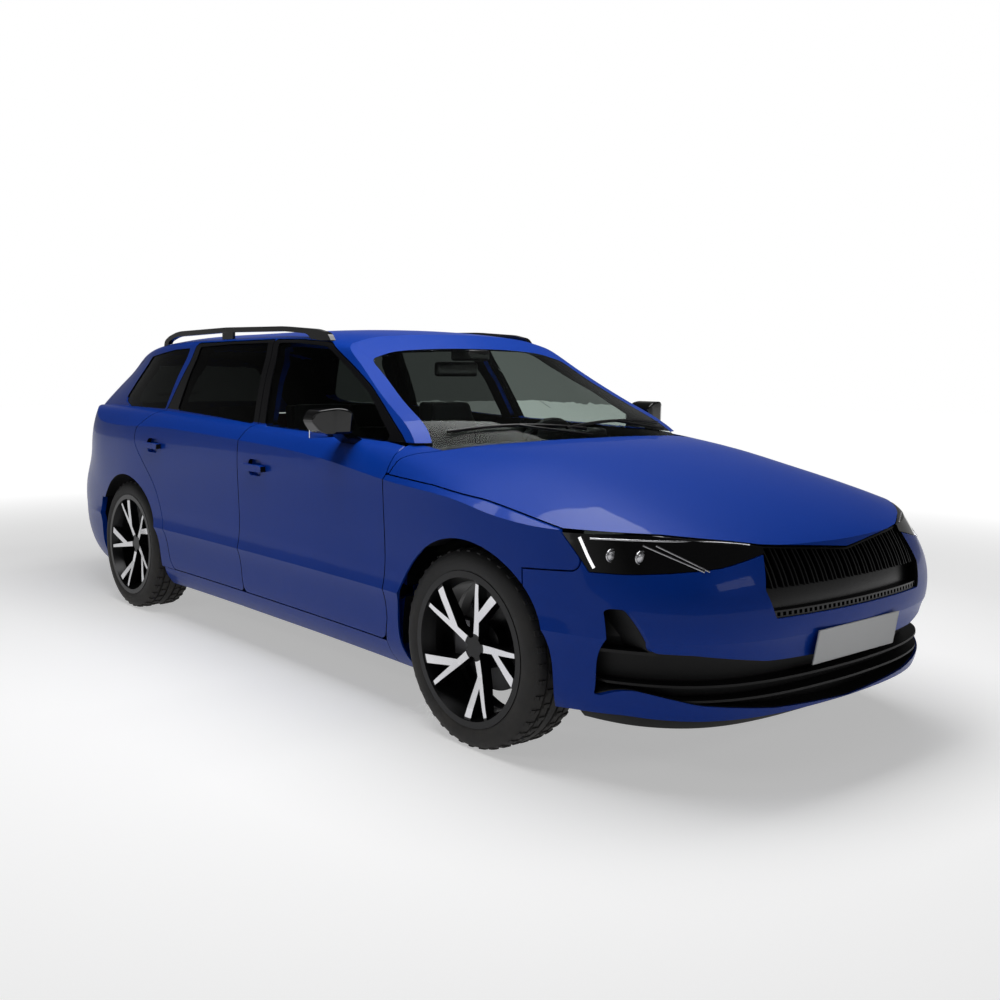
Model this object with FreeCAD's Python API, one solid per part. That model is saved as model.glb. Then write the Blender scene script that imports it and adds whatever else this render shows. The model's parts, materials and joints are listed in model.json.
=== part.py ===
"""Station wagon: hollow unitary body with doors, bonnet and tailgate that open, glazing, cabin, axles and wheels.

Frame: +X forward, +Y to the car's left, +Z up, millimetres. The origin is on the floor, midway along the car.
Places along the car are stations: -1 is the tail, 0 the rear axle, 1 the front axle and 2 the nose.
Heights are shares of the car's height and places across it are shares of its half width.
"""

import FreeCAD
import Part
import math
import os

V = FreeCAD.Vector

# Driving sizes of the car
FRONT_OVERHANG = 880.0
WHEELBASE = 2686.0
REAR_OVERHANG = 1132.0
HALF_WIDTH = 914.5
HEIGHT = 1458.0
TRACK = 1543.0

# Wheels
TYRE_RADIUS = 328.0
TYRE_WIDTH = 225.0
RIM_RADIUS = 258.0
ARCH_RADIUS = 368.0
STEERING_LOCK = 34.0

# Thicknesses and clearances
SKIN = 12.0
DOOR_DEPTH = 152.0
FRAME_DEPTH = 40.0
PILLAR_DEPTH = 72.0
GLASS_SET = 5.0
GLASS_THICK = 5.0
SHUT_GAP = 5.0
SEAT_GAP = 0.3
OVERRUN = 40.0
SLIVER = 30.0**3

CAR_LENGTH = FRONT_OVERHANG + WHEELBASE + REAR_OVERHANG
FRONT_AXLE = CAR_LENGTH / 2 - FRONT_OVERHANG
REAR_AXLE = FRONT_AXLE - WHEELBASE
NOSE = CAR_LENGTH / 2
TAIL = -CAR_LENGTH / 2


def station(share):
    """The x of a station along the car."""
    if share > 1:
        return FRONT_AXLE + (share - 1) * FRONT_OVERHANG
    if share < 0:
        return REAR_AXLE + share * REAR_OVERHANG
    return REAR_AXLE + share * WHEELBASE


def table(shares, share):
    """Reads a smooth value between the hand-chosen pairs of a table of shares."""
    pairs = sorted(shares)
    if share <= pairs[0][0]:
        return pairs[0][1]
    if share >= pairs[-1][0]:
        return pairs[-1][1]
    slopes = [(b[1] - a[1]) / (b[0] - a[0]) for a, b in zip(pairs, pairs[1:])]
    tangents = [slopes[0]]
    tangents += [(a + b) / 2 if a * b > 0 else 0 for a, b in zip(slopes, slopes[1:])]
    tangents.append(slopes[-1])
    for i, ((a, va), (b, vb)) in enumerate(zip(pairs, pairs[1:])):
        if share <= b:
            t = (share - a) / (b - a)
            m, n = tangents[i] * (b - a), tangents[i + 1] * (b - a)
            return (
                va * (2 * t**3 - 3 * t**2 + 1)
                + m * (t**3 - 2 * t**2 + t)
                + vb * (3 * t**2 - 2 * t**3)
                + n * (t**3 - t**2)
            )


def chords(points):
    """Parameters for a curve through the points, by the distance between them."""
    values = [0.0]
    for a, b in zip(points, points[1:]):
        values.append(values[-1] + a.distanceToPoint(b))
    return values


def spline(points, values, start=None, end=None):
    curve = Part.BSplineCurve()
    if start and end:
        curve.interpolate(Points=points, Parameters=values, InitialTangent=start, FinalTangent=end)
    else:
        curve.interpolate(Points=points, Parameters=values)
    return curve


def skin_surface(rows, along=None, across=None, ends=None):
    """One smooth surface through rows of points, all rows with the same parameters."""
    along = along or chords(rows[len(rows) // 2])
    across = across or chords([row[len(row) // 2] for row in rows])
    start, end = ends or (None, None)
    curves = [spline(row, along, start, end) for row in rows]
    poles = [curve.getPoles() for curve in curves]
    crossings = [spline([row[i] for row in poles], across) for i in range(len(poles[0]))]
    surface = Part.BSplineSurface()
    surface.buildFromPolesMultsKnots(
        [crossing.getPoles() for crossing in crossings],
        curves[0].getMultiplicities(),
        crossings[0].getMultiplicities(),
        curves[0].getKnots(),
        crossings[0].getKnots(),
        False,
        False,
        curves[0].Degree,
        crossings[0].Degree,
    )
    return surface.toShape()


# Plan of the body at its widest: station and share of the half width, from the nose to the tail
PLAN_SHARES = [
    (2.0, 0.0),
    (1.996, 0.14),
    (1.984, 0.30),
    (1.958, 0.46),
    (1.915, 0.60),
    (1.848, 0.72),
    (1.75, 0.815),
    (1.62, 0.89),
    (1.44, 0.95),
    (1.22, 0.987),
    (1.0, 1.0),
    (0.85, 0.988),
    (0.66, 0.975),
    (0.46, 0.972),
    (0.26, 0.978),
    (0.1, 0.992),
    (0.0, 0.999),
    (-0.16, 0.995),
    (-0.36, 0.975),
    (-0.56, 0.93),
    (-0.73, 0.855),
    (-0.86, 0.73),
    (-0.935, 0.58),
    (-0.975, 0.40),
    (-0.994, 0.20),
    (-1.0, 0.0),
]
# How far the wall stands in from that plan at each height: height, then side, nose and tail in shares of the half width
SILL_ROW_SHARES = [(0.118, 0.112, 0.085, 0.115), (0.155, 0.062, 0.045, 0.075), (0.215, 0.03, 0.03, 0.03), (0.315, 0.0, 0.008, 0.008)]
WALL_ROW_SHARES = [
    (0.315, 0.0, 0.008, 0.008),
    (0.36, 0.012, 0.002, 0.0),
    (0.42, 0.013, 0.02, 0.006),
    (0.475, 0.008, 0.062, 0.028),
    (0.52, 0.004, 0.105, 0.048),
    (0.58, 0.0, 0.19, 0.062),
    (0.64, 0.006, 0.31, 0.085),
    (0.70, 0.03, 0.45, 0.125),
    (0.76, 0.07, 0.60, 0.19),
]
RIDGE_RISE_SHARES = [(-1.0, 0.0), (-0.2, 0.03), (0.3, 0.03), (0.63, 0.0), (1.0, -0.02), (2.0, 0.0)]


def wall_row(row, inset):
    """One level line of the outer wall, round the right half of the body from nose to tail."""
    height, side, nose, tail = row
    points = []
    for share, half in PLAN_SHARES:
        front = max(0.0, min(1.0, (share - 1.35) / 0.5))
        rear = max(0.0, min(1.0, (-0.35 - share) / 0.45))
        front, rear = front * front * (3 - 2 * front), rear * rear * (3 - 2 * rear)
        depth = (side * (1 - front - rear) + nose * front + tail * rear) * HALF_WIDTH + inset
        lengthwise = (front + rear) * math.sqrt(max(0.0, 1 - half**2))
        x = station(share) - math.copysign(depth * lengthwise, share) * (1 if front or rear else 0)
        y = -half * (HALF_WIDTH - depth * (1 if half else 0))
        points.append(V(x, y, height * HEIGHT))
    return points


def wall_half(inset=0.0):
    """The right half of everything inside the outer wall, as a solid that runs above the shoulder."""
    patches = []
    along = chords(wall_row(WALL_ROW_SHARES[0], inset))
    for table_rows in (SILL_ROW_SHARES, WALL_ROW_SHARES):
        rows = [wall_row(row, inset) for row in table_rows]
        across = [row[0] * HEIGHT for row in table_rows]
        patches.append(skin_surface(rows, along, across, (V(0, -1, 0), V(0, 1, 0))))
    low, high = SILL_ROW_SHARES[0][0] * HEIGHT, WALL_ROW_SHARES[-1][0] * HEIGHT
    return close_half(patches, low, high)


def close_half(patches, low, high):
    """Closes wall patches with the middle plane, a floor and a lid."""
    def level(z):
        edges = [e for p in patches for e in p.Edges if all(abs(v.Z - z) < 0.01 for v in e.Vertexes)]
        edge = edges[0]
        a, b = edge.Vertexes[0].Point, edge.Vertexes[-1].Point
        return Part.Face(Part.Wire([edge, Part.makeLine(b, a)])), Part.makeLine(a, b)
    floor, floor_line = level(low)
    lid, lid_line = level(high)
    ends = [
        e
        for p in patches
        for e in p.Edges
        if all(abs(v.Y) < 0.01 for v in e.Vertexes) and abs(e.Vertexes[0].Z - e.Vertexes[-1].Z) > 1
    ]
    middle = Part.Face(Part.Wire(Part.__sortEdges__(ends + [floor_line, lid_line])))
    shell = Part.Shell(Part.Compound(patches + [floor, lid, middle]).Faces)
    shell.sewShape()
    solid = Part.Solid(Part.Shell(shell.Faces))
    if solid.Volume < 0:
        solid.reverse()
    return solid


# Height of the body's upper face: the bonnet ahead of the screen, a shelf at the belt behind it
CENTRE_HEIGHT_SHARES = [
    (-1.1, 0.69), (-0.9, 0.70), (-0.5, 0.712), (0.0, 0.71), (0.45, 0.69), (0.7, 0.68), (0.85, 0.679),
    (1.0, 0.655), (1.15, 0.637), (1.3, 0.617), (1.45, 0.594), (1.6, 0.568), (1.72, 0.544), (1.82, 0.521), (1.9, 0.499),
    (1.96, 0.477), (2.05, 0.43),
]
CREASE_HEIGHT_SHARES = [
    (-1.1, 0.62), (-0.8, 0.645), (-0.4, 0.66), (0.08, 0.662), (0.37, 0.64), (0.63, 0.625), (0.84, 0.598), (1.0, 0.572),
    (1.2, 0.545), (1.4, 0.522), (1.6, 0.495), (1.8, 0.455), (2.05, 0.39),
]
UPPER_STATION_SHARES = [-1.1, -0.9, -0.65, -0.4, -0.15, 0.1, 0.3, 0.5, 0.7, 0.85]
UPPER_STATION_SHARES += [1.0, 1.15, 1.3, 1.45, 1.6, 1.72, 1.82, 1.9, 1.96, 2.05]
# Across the body: share of the half width and how far down from the centre height to the crease, cabin and bonnet
UPPER_ACROSS_SHARES = [
    (0.0, 0.0, 0.0),
    (0.22, 0.0, 0.02),
    (0.44, 0.0, 0.09),
    (0.62, 0.0, 0.22),
    (0.76, 0.01, 0.42),
    (0.86, 0.06, 0.64),
    (0.92, 0.36, 0.81),
    (0.972, 1.0, 1.0),
    (1.06, 2.2, 1.5),
]


def upper_face(drop=0.0):
    """The bonnet and belt surface, as a solid down from it."""
    rows = []
    mirrored = [(-across, cabin, bonnet) for across, cabin, bonnet in UPPER_ACROSS_SHARES[:0:-1]]
    for across, cabin, bonnet in mirrored + UPPER_ACROSS_SHARES:
        row = []
        for share in UPPER_STATION_SHARES:
            centre, crease = table(CENTRE_HEIGHT_SHARES, share), table(CREASE_HEIGHT_SHARES, share)
            blend = max(0.0, min(1.0, (share - 0.72) / 0.26))
            fall = cabin + (bonnet - cabin) * blend * blend * (3 - 2 * blend)
            row.append(V(station(share), -across * HALF_WIDTH, (centre - fall * (centre - crease)) * HEIGHT - drop))
        rows.append(row)
    face = skin_surface(rows)
    return face.extrude(V(0, 0, -HEIGHT))


# Roof and cabin sides: height of the roof's middle, height and half width of its edge, half width at the belt
ROOF_HEIGHT_SHARES = [
    (-1.15, 0.885), (-0.8, 0.93), (-0.5, 0.951), (-0.2, 0.969), (0.1, 0.981), (0.35, 0.985), (0.5, 0.979), (0.6, 0.961), (0.8, 0.89),
    (1.0, 0.79), (1.3, 0.61),
]
EDGE_HEIGHT_SHARES = [
    (-1.15, 0.78), (-0.8, 0.845), (-0.5, 0.893), (-0.2, 0.925), (0.1, 0.939), (0.35, 0.942), (0.5, 0.934), (0.6, 0.913), (0.8, 0.835),
    (1.0, 0.735), (1.3, 0.56),
]
EDGE_HALF_SHARES = [
    (-1.15, 0.35), (-0.8, 0.47), (-0.6, 0.55), (-0.4, 0.62), (-0.2, 0.667), (0.0, 0.684), (0.3, 0.69), (0.45, 0.685), (0.6, 0.655), (0.8, 0.60), (1.0, 0.54), (1.3, 0.45),
]
BELT_HALF_SHARES = [
    (-1.15, 0.64), (-0.8, 0.73), (-0.4, 0.805), (0.0, 0.84), (0.3, 0.858), (0.45, 0.856), (0.6, 0.848), (0.75, 0.825), (0.85, 0.785),
    (1.0, 0.72), (1.3, 0.60),
]
CABIN_STATION_SHARES = [-1.15, -0.95, -0.75, -0.5, -0.25, 0.0, 0.2, 0.4, 0.52, 0.64, 0.76, 0.88, 1.0, 1.15]
BELT_LEVEL_SHARE = 0.685
SKIRT_LEVEL_SHARE = 0.60
# The cabin's section: share of the way out to the edge and down to it, then share of the way from edge to belt
ROOF_CURVE_SHARES = [(0.0, 0.0), (0.28, 0.035), (0.55, 0.16), (0.76, 0.36), (0.90, 0.62), (1.0, 1.0)]
SIDE_CURVE_SHARES = [(0.14, 0.12), (0.42, 0.37), (0.72, 0.67), (1.0, 1.0)]


def cabin_section(share, inset):
    """Points of the cabin's section at one station, from the roof's middle to below the belt."""
    roof, edge = table(ROOF_HEIGHT_SHARES, share) * HEIGHT, table(EDGE_HEIGHT_SHARES, share) * HEIGHT
    half, belt = table(EDGE_HALF_SHARES, share) * HALF_WIDTH, table(BELT_HALF_SHARES, share) * HALF_WIDTH
    level, skirt = BELT_LEVEL_SHARE * HEIGHT, SKIRT_LEVEL_SHARE * HEIGHT
    points = [(half * out, roof - (roof - edge) * down) for out, down in ROOF_CURVE_SHARES]
    low = min(level, edge - (edge - skirt) / 2)
    points += [(half + (belt - half) * out, edge - (edge - low) * down) for out, down in SIDE_CURVE_SHARES]
    points.append((belt + (belt - half) * (low - skirt) / (edge - low) * 0.55, skirt - (0 if low == level else 60)))
    moved = []
    for i, (y, z) in enumerate(points):
        before, after = points[max(0, i - 1)], points[min(len(points) - 1, i + 1)]
        run, fall = after[0] - before[0], before[1] - after[1]
        size = math.hypot(run, fall)
        out, up = (0.0, 1.0) if i == 0 else (fall / size, run / size)
        moved.append(V(station(share), -(y - inset * out), z - inset * up))
    return moved


def cabin_arch(inset=0.0):
    """Roof and cabin sides, as a solid down from them."""
    sections = [cabin_section(share, inset) for share in CABIN_STATION_SHARES]
    rows = [[section[i] for section in sections] for i in range(len(sections[0]))]
    rows = [[V(p.x, -p.y, p.z) for p in row] for row in rows[:0:-1]] + rows
    return skin_surface(rows).extrude(V(0, 0, -HEIGHT / 2))


# Windscreen: its middle line and how fast it curves back to the sides
SCREEN_LINE_SHARES = [(0.94, 0.56), (0.893, 0.675), (0.82, 0.745), (0.71, 0.845), (0.598, 0.959), (0.53, 1.02)]
SCREEN_BOW_SHARE = 0.30
SCREEN_ACROSS_SHARES = [-1.02, -0.8, -0.55, -0.28, 0.0, 0.28, 0.55, 0.8, 1.02]
# Tailgate and rear window, the same way
REAR_LINE_SHARES = [(-0.935, 0.56), (-0.9, 0.66), (-0.885, 0.70), (-0.835, 0.79), (-0.79, 0.87), (-0.77, 0.92), (-0.74, 1.02)]
REAR_BOW_SHARE = 0.25


def bowed_face(line_shares, bow, inset):
    """A screen surface bowed across the car, as the solid behind it."""
    way = math.copysign(1.0, bow)
    rows = []
    for across in SCREEN_ACROSS_SHARES:
        back = bow * HALF_WIDTH * across**2
        rows.append([V(station(s) - back - way * inset, -across * HALF_WIDTH, z * HEIGHT) for s, z in line_shares])
    return skin_surface(rows).extrude(V(-way * CAR_LENGTH, 0, 0))


def cabin(inset=0.0, screen_inset=None):
    """The cabin above the belt."""
    depth = inset if screen_inset is None else screen_inset
    arch = cabin_arch(inset)
    screen = bowed_face(SCREEN_LINE_SHARES, SCREEN_BOW_SHARE, depth * 2)
    rear = bowed_face(REAR_LINE_SHARES, -REAR_BOW_SHARE, depth)
    return arch.common(half_space()).common(screen).common(rear)


def rounded(points):
    """A closed outline of straight runs and tangent arcs from corners and their radii."""
    corners = [V(u, v, 0) for u, v, radius in points]
    ends, edges = [], []
    for i, (u, v, radius) in enumerate(points):
        corner, before, after = corners[i], corners[i - 1], corners[(i + 1) % len(corners)]
        first, second = (before - corner), (after - corner)
        reach = min(first.Length, second.Length) * 0.49
        first.normalize()
        second.normalize()
        half = math.acos(max(-1.0, min(1.0, first.dot(second)))) / 2
        if radius <= 0 or half > math.pi / 2 * 0.995:
            ends.append((corner, None, corner))
            continue
        back = min(radius / math.tan(half), reach)
        fitted = back * math.tan(half)
        middle = first + second
        middle.normalize()
        centre = corner + middle * (fitted / math.sin(half))
        ends.append((corner + first * back, centre - middle * fitted, corner + second * back))
    for i, (start, middle, end) in enumerate(ends):
        if middle is not None:
            edges.append(Part.Arc(start, middle, end).toShape())
        onward = ends[(i + 1) % len(ends)][0]
        if end.distanceToPoint(onward) > 1e-6:
            edges.append(Part.makeLine(end, onward))
    return Part.Wire(edges)


def prism(points, plane, start, end, grow=0.0):
    """An outline seen from the side, from above or from the front, as a solid between two depths."""
    wire = rounded(points)
    if grow:
        wire = wire.makeOffset2D(grow, join=2)
    low, high = (-end, -start) if plane == "side" else (start, end)
    solid = Part.Face(wire).extrude(V(0, 0, high - low))
    solid.translate(V(0, 0, low))
    if plane == "side":
        solid.rotate(V(), V(1, 0, 0), 90)
    if plane == "front":
        solid.rotate(V(), V(1, 1, 1), 120)
    return solid


def side_shares(shares):
    """Side-view points from station, height and radius shares."""
    return [(station(s), z * HEIGHT, r * HEIGHT) for s, z, r in shares]


def plan_shares(shares):
    return [(station(s), y * HALF_WIDTH, r * HALF_WIDTH) for s, y, r in shares]


def front_shares(shares):
    return [(y * HALF_WIDTH, z * HEIGHT, r * HEIGHT) for y, z, r in shares]


def block(x0, x1, y0, y1, z0, z1):
    return Part.makeBox(x1 - x0, y1 - y0, z1 - z0, V(x0, y0, z0))


def rod(start, end, radius, bore=0.0):
    """A round bar or tube between two points."""
    way = end - start
    bar = Part.makeCylinder(radius, way.Length, start, way)
    if bore:
        bar = bar.cut(Part.makeCylinder(bore, way.Length, start, way))
    return bar


def left_of(shape):
    return shape.mirror(V(), V(0, 1, 0))


def pair(shape):
    """A shape with its mirror image."""
    return Part.Compound(shape.Solids + left_of(shape).Solids)


def joined(shapes):
    return shapes[0].fuse(shapes[1:]) if len(shapes) > 1 else shapes[0]


def solids_of(shape):
    """The real solids of a result, without slivers."""
    solids = [s for s in shape.Solids if s.Volume > SLIVER]
    return solids[0] if len(solids) == 1 else Part.Compound(solids)


# Side-view outlines: station, height, corner radius
SPLIT_SHARES = [(0.39, 0.947, 0.01), (0.434, 0.688, 0.2), (0.433, 0.30, 0.0), (0.434, 0.182, 0.02)]
FRONT_DOOR_SHARES = [
    (0.829, 0.182, 0.03), (0.838, 0.24, 0.05), (0.838, 0.60, 0.02), (0.826, 0.652, 0.02), (0.80, 0.686, 0.03), (0.69, 0.806, 0.4),
    (0.545, 0.936, 0.12), (0.46, 0.945, 0.4),
] + SPLIT_SHARES
REAR_DOOR_SHARES = [
    (0.181, 0.182, 0.03), (0.173, 0.215, 0.06), (0.165, 0.32, 0.2), (0.125, 0.46, 0.25), (0.066, 0.565, 0.1), (0.050, 0.60, 0.03),
    (0.053, 0.64, 0.03), (0.080, 0.715, 0.2), (0.103, 0.85, 0.3), (0.110, 0.943, 0.02),
] + SPLIT_SHARES
FRONT_WINDOW_SHARES = [
    (0.455, 0.684, 0.01), (0.79, 0.668, 0.01), (0.69, 0.79, 0.4), (0.545, 0.922, 0.1), (0.46, 0.934, 0.4), (0.408, 0.936, 0.01),
]
REAR_WINDOW_SHARES = [
    (0.418, 0.686, 0.01), (0.27, 0.70, 0.3), (0.125, 0.71, 0.01), (0.128, 0.929, 0.01), (0.25, 0.936, 0.3), (0.375, 0.936, 0.01),
]
QUARTER_WINDOW_SHARES = [
    (0.070, 0.712, 0.01), (-0.269, 0.712, 0.06), (-0.39, 0.734, 0.02), (-0.235, 0.898, 0.03), (0.02, 0.922, 0.4), (0.088, 0.926, 0.01),
]
# Bonnet edge along the shoulder and over the lamps, then its back edge seen from above
BONNET_EDGE_SHARES = [
    (0.838, 0.5985, 0.0), (0.94, 0.587, 0.3), (1.078, 0.5686, 0.3), (1.2625, 0.549, 0.3), (1.447, 0.529, 0.1), (1.60, 0.526, 0.3), (2.1, 0.524, 0.0),
]
BONNET_BACK_SHARES = [(0.843, -1.02, 0.0), (0.843, -0.92, 0.03), (0.872, -0.80, 0.1), (0.900, -0.45, 0.4), (0.909, 0.0, 0.6)]
BONNET_BACK_SHARES += [(s, -y, r) for s, y, r in BONNET_BACK_SHARES[-2::-1]]
BONNET_FRONT_SHARES = [
    (-1.2, 0.529, 0.0), (-0.93, 0.529, 0.0), (-0.72, 0.5225, 0.1), (-0.52, 0.508, 0.05), (-0.42, 0.499, 0.1), (-0.2, 0.488, 0.1), (0.0, 0.476, 0.05),
]
BONNET_FRONT_SHARES += [(-y, z, r) for y, z, r in BONNET_FRONT_SHARES[-2::-1]]
WING_SEAM_SHARES = [(1.30, 0.437, 0.0), (1.55, 0.447, 0.02), (1.447, 0.529, 0.0)]
TAILGATE_SIDE_SHARES = [
    (-0.378, 1.1, 0.0), (-0.378, 0.885, 0.02), (-0.46, 0.872, 0.03), (-0.64, 0.80, 0.3), (-0.735, 0.69, 0.05), (-0.75, 0.655, 0.0), (-1.1, 0.655, 0.0), (-1.1, 1.1, 0.0),
]
TAILGATE_LOW_SHARES = [(-0.60, 0.68, 0.0), (-0.60, 0.47, 0.05), (-0.56, 0.402, 0.03), (0.56, 0.402, 0.03), (0.60, 0.47, 0.05), (0.60, 0.68, 0.0)]
TAILGATE_WINDOW_SHARES = [(-0.60, 0.71, 0.03), (-0.40, 0.862, 0.03), (0.40, 0.862, 0.03), (0.60, 0.71, 0.03)]
REAR_SEAM_SHARES = [(-0.30, 0.375, 0.0), (-0.50, 0.455, 0.1), (-0.62, 0.545, 0.05), (-1.1, 0.545, 0.0)]
TAIL_LAMP_SHARES = [(-0.51, 0.625, 0.01), (-0.56, 0.565, 0.02), (-1.1, 0.545, 0.0), (-1.1, 0.645, 0.0), (-0.60, 0.655, 0.02)]
GATE_LAMP_SHARES = [(-0.59, 0.625, 0.0), (-0.45, 0.62, 0.01), (-0.47, 0.565, 0.01), (-0.59, 0.56, 0.0)]
LAMP_FRONT_SHARES = [
    (-1.2, 0.5225, 0.0), (-0.50, 0.5225, 0.02), (-0.43, 0.506, 0.005), (-0.42, 0.484, 0.005), (-0.60, 0.462, 0.1), (-0.84, 0.447, 0.0), (-1.2, 0.447, 0.0),
]
LAMP_BACK_SHARES = [(1.55, 0.40, 0.0), (1.55, 0.447, 0.0), (1.447, 0.529, 0.0), (1.447, 0.6, 0.0), (2.2, 0.6, 0.0), (2.2, 0.40, 0.0)]
GRILLE_SHARES = [
    (-0.425, 0.4965, 0.005), (-0.475, 0.415, 0.01), (-0.445, 0.357, 0.01), (0.445, 0.357, 0.01), (0.475, 0.415, 0.01),
    (0.425, 0.4965, 0.005), (0.2, 0.485, 0.1), (0.0, 0.473, 0.05), (-0.2, 0.485, 0.1),
]
INTAKE_SHARES = [
    (-0.888, 0.378, 0.01), (-0.88, 0.189, 0.004), (-0.839, 0.216, 0.05), (-0.68, 0.188, 0.2), (-0.40, 0.166, 0.3), (0.0, 0.152, 0.3),
]
INTAKE_SHARES += [(-y, z, r) for y, z, r in INTAKE_SHARES[-2::-1]]
INTAKE_SHARES += [
    (0.852, 0.378, 0.01), (0.80, 0.293, 0.02), (0.706, 0.291, 0.1), (0.443, 0.268, 0.2), (0.0, 0.262, 0.3),
    (-0.443, 0.268, 0.2), (-0.706, 0.291, 0.1), (-0.80, 0.293, 0.02), (-0.852, 0.378, 0.01),
]
INTAKE_BLADE_SHARES = [(0.286, 0.293, -0.88, -0.78), (0.222, 0.227, -0.86, 0.0), (0.192, 0.197, -0.80, 0.0)]
BUMPER_FOOT_SHARES = [(1.30, 0.139, 0.0), (1.45, 0.1475, 0.1), (1.65, 0.156, 0.1), (1.90, 0.150, 0.1), (2.2, 0.144, 0.0)]
BUMPER_FOOT_SHARE = 0.135

# Doors, lids and their hinges
LENS_SET = 1.0
RIB = 5.0
GRILLE_ACROSS_SHARES = (-0.5, -0.33, -0.16, 0.0, 0.16)
GRILLE_LEVEL_SHARES = (0.34, 0.38, 0.42, 0.46, 0.499)
RIB_PAIRS = 9
RIB_PAIR_SHARES = (0.3, 0.7)
RIB_PITCH = 0.05 * HALF_WIDTH
RIB_FOOT = 0.415 * HEIGHT
TOOTH_TOP = 0.372 * HEIGHT
TOOTH_GAP = 13.0
LAMP_DEPTH = 60.0
GRILLE_SET = 8.0
LINER_IN = 560.0
LIP = 6.0
HEM = LIP / 2
SCREEN_FRAME = 46.0
ROOF_HALF = 560.0
DOOR_TOP_HALF = ROOF_HALF + 20.0
LIP_REACH = 25.0
FRAME_LIP = 12.0
WING_SKIN = 8.0
PANEL = 14.0
LID_DEPTH = 20.0
TAILGATE_DEPTH = 55.0
HINGE_AHEAD = 44.0
HINGE_IN = 30.0
BARREL = 8.0
PIN = 5.0
PIN_GAP = 0.3
STRAP = 8.0
HANDLE_LENGTH = 170.0
HANDLE_PROUD = 26.0
GRIP = 11.0
CUP_HEIGHT = 70.0
FRONT_HANDLE_SHARES = (0.492, 0.567)
REAR_HANDLE_SHARES = (0.127, 0.593)
STRAP_HEIGHT = 40.0
LEAF = 6.0
LEAF_GAP = 1.0
STRAP_TURN = 114.0
STRAP_LEG = 60.0
JAMB = 22.0
POST_WALL = 57.0

BONNET_PIN_X = station(0.842)
BONNET_PIN_Z = 0.6345 * HEIGHT
BONNET_PIN_HALF = 746.0
BONNET_PIN_DROP = 55.0
GATE_PIN_AHEAD = 52.0
GATE_PIN_X = station(-0.378) + GATE_PIN_AHEAD
GATE_PIN_Z = 0.937 * HEIGHT
GATE_PIN_HALF = 250.0
GATE_NECK = 62.0
DOOR_INNER = HALF_WIDTH - DOOR_DEPTH
BELT = BELT_LEVEL_SHARE * HEIGHT
SILL_FOOT = 0.108 * HEIGHT
SILL_TOP = 0.182 * HEIGHT
LINER_RADIUS = ARCH_RADIUS + 24.0
LINER_WALL = 5.0
HOUSE_FOOT = 0.2 * HEIGHT
HOUSE_IN = 645.0


def half_space(side=-1):
    """Everything on one side of the middle plane."""
    low, high = (-HALF_WIDTH * 2, 0) if side < 0 else (0, HALF_WIDTH * 2)
    return block(-CAR_LENGTH, CAR_LENGTH, low, high, -HEIGHT, HEIGHT * 2)


class Hull:
    """The car's outer volume and the same volume set in by a panel's thickness, right half only."""

    def __init__(self):
        self.made = {}

    def low(self, inset=0.0):
        key = ("low", inset)
        if key not in self.made:
            right = half_space()
            self.made[key] = wall_half(inset).common(upper_face(inset)).common(right)
        return self.made[key]

    def cabin(self, inset=0.0, screen_inset=None):
        key = ("cabin", inset, screen_inset)
        if key not in self.made:
            self.made[key] = cabin(inset, screen_inset)
        return self.made[key]

    def whole(self):
        if "whole" not in self.made:
            self.made["whole"] = self.low().fuse(self.cabin())
        return self.made["whole"]


HULL = Hull()


def arch_bore(axle, radius, inner=0.0):
    """The round space about a wheel on the right."""
    return rod(V(axle, -HALF_WIDTH - OVERRUN, TYRE_RADIUS), V(axle, -inner, TYRE_RADIUS), radius)


def side_prism(shares, grow=0.0):
    return prism(side_shares(shares), "side", -HALF_WIDTH - OVERRUN, 0, grow)


def hinge_parts(pin_x, pin_y, heights, edge_x):
    """Bent straps with barrels for a door, and the pins with their collars for the body."""
    turn = math.radians(STRAP_TURN)
    elbow = V(pin_x + STRAP_LEG * math.cos(turn), pin_y + STRAP_LEG * math.sin(turn), 0)
    straps, pins = [], []
    for z in heights:
        foot = V(pin_x, pin_y, z - STRAP_HEIGHT / 2)
        barrel = Part.makeCylinder(BARREL, STRAP_HEIGHT, foot)
        leg = block(0, STRAP_LEG, -STRAP / 2, STRAP / 2, 0, STRAP_HEIGHT)
        leg.rotate(V(), V(0, 0, 1), STRAP_TURN)
        leg.translate(foot)
        bend = Part.makeCylinder(STRAP / 2, STRAP_HEIGHT, V(elbow.x, elbow.y, foot.z))
        arm = block(edge_x, elbow.x, elbow.y - STRAP / 2, elbow.y + STRAP / 2, foot.z, foot.z + STRAP_HEIGHT)
        bore = Part.makeCylinder(PIN + PIN_GAP, STRAP_HEIGHT + OVERRUN, foot - V(0, 0, OVERRUN / 2))
        straps.append(barrel.fuse([leg, bend, arm]).cut(bore))
        tall = STRAP_HEIGHT + 2 * (LEAF + LEAF_GAP)
        pin = Part.makeCylinder(PIN, tall, V(pin_x, pin_y, z - tall / 2))
        for low in (z - tall / 2, z + tall / 2 - LEAF):
            pin = pin.fuse(Part.makeCylinder(BARREL, LEAF, V(pin_x, pin_y, low)))
        pins.append(pin)
    return straps, pins


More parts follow.
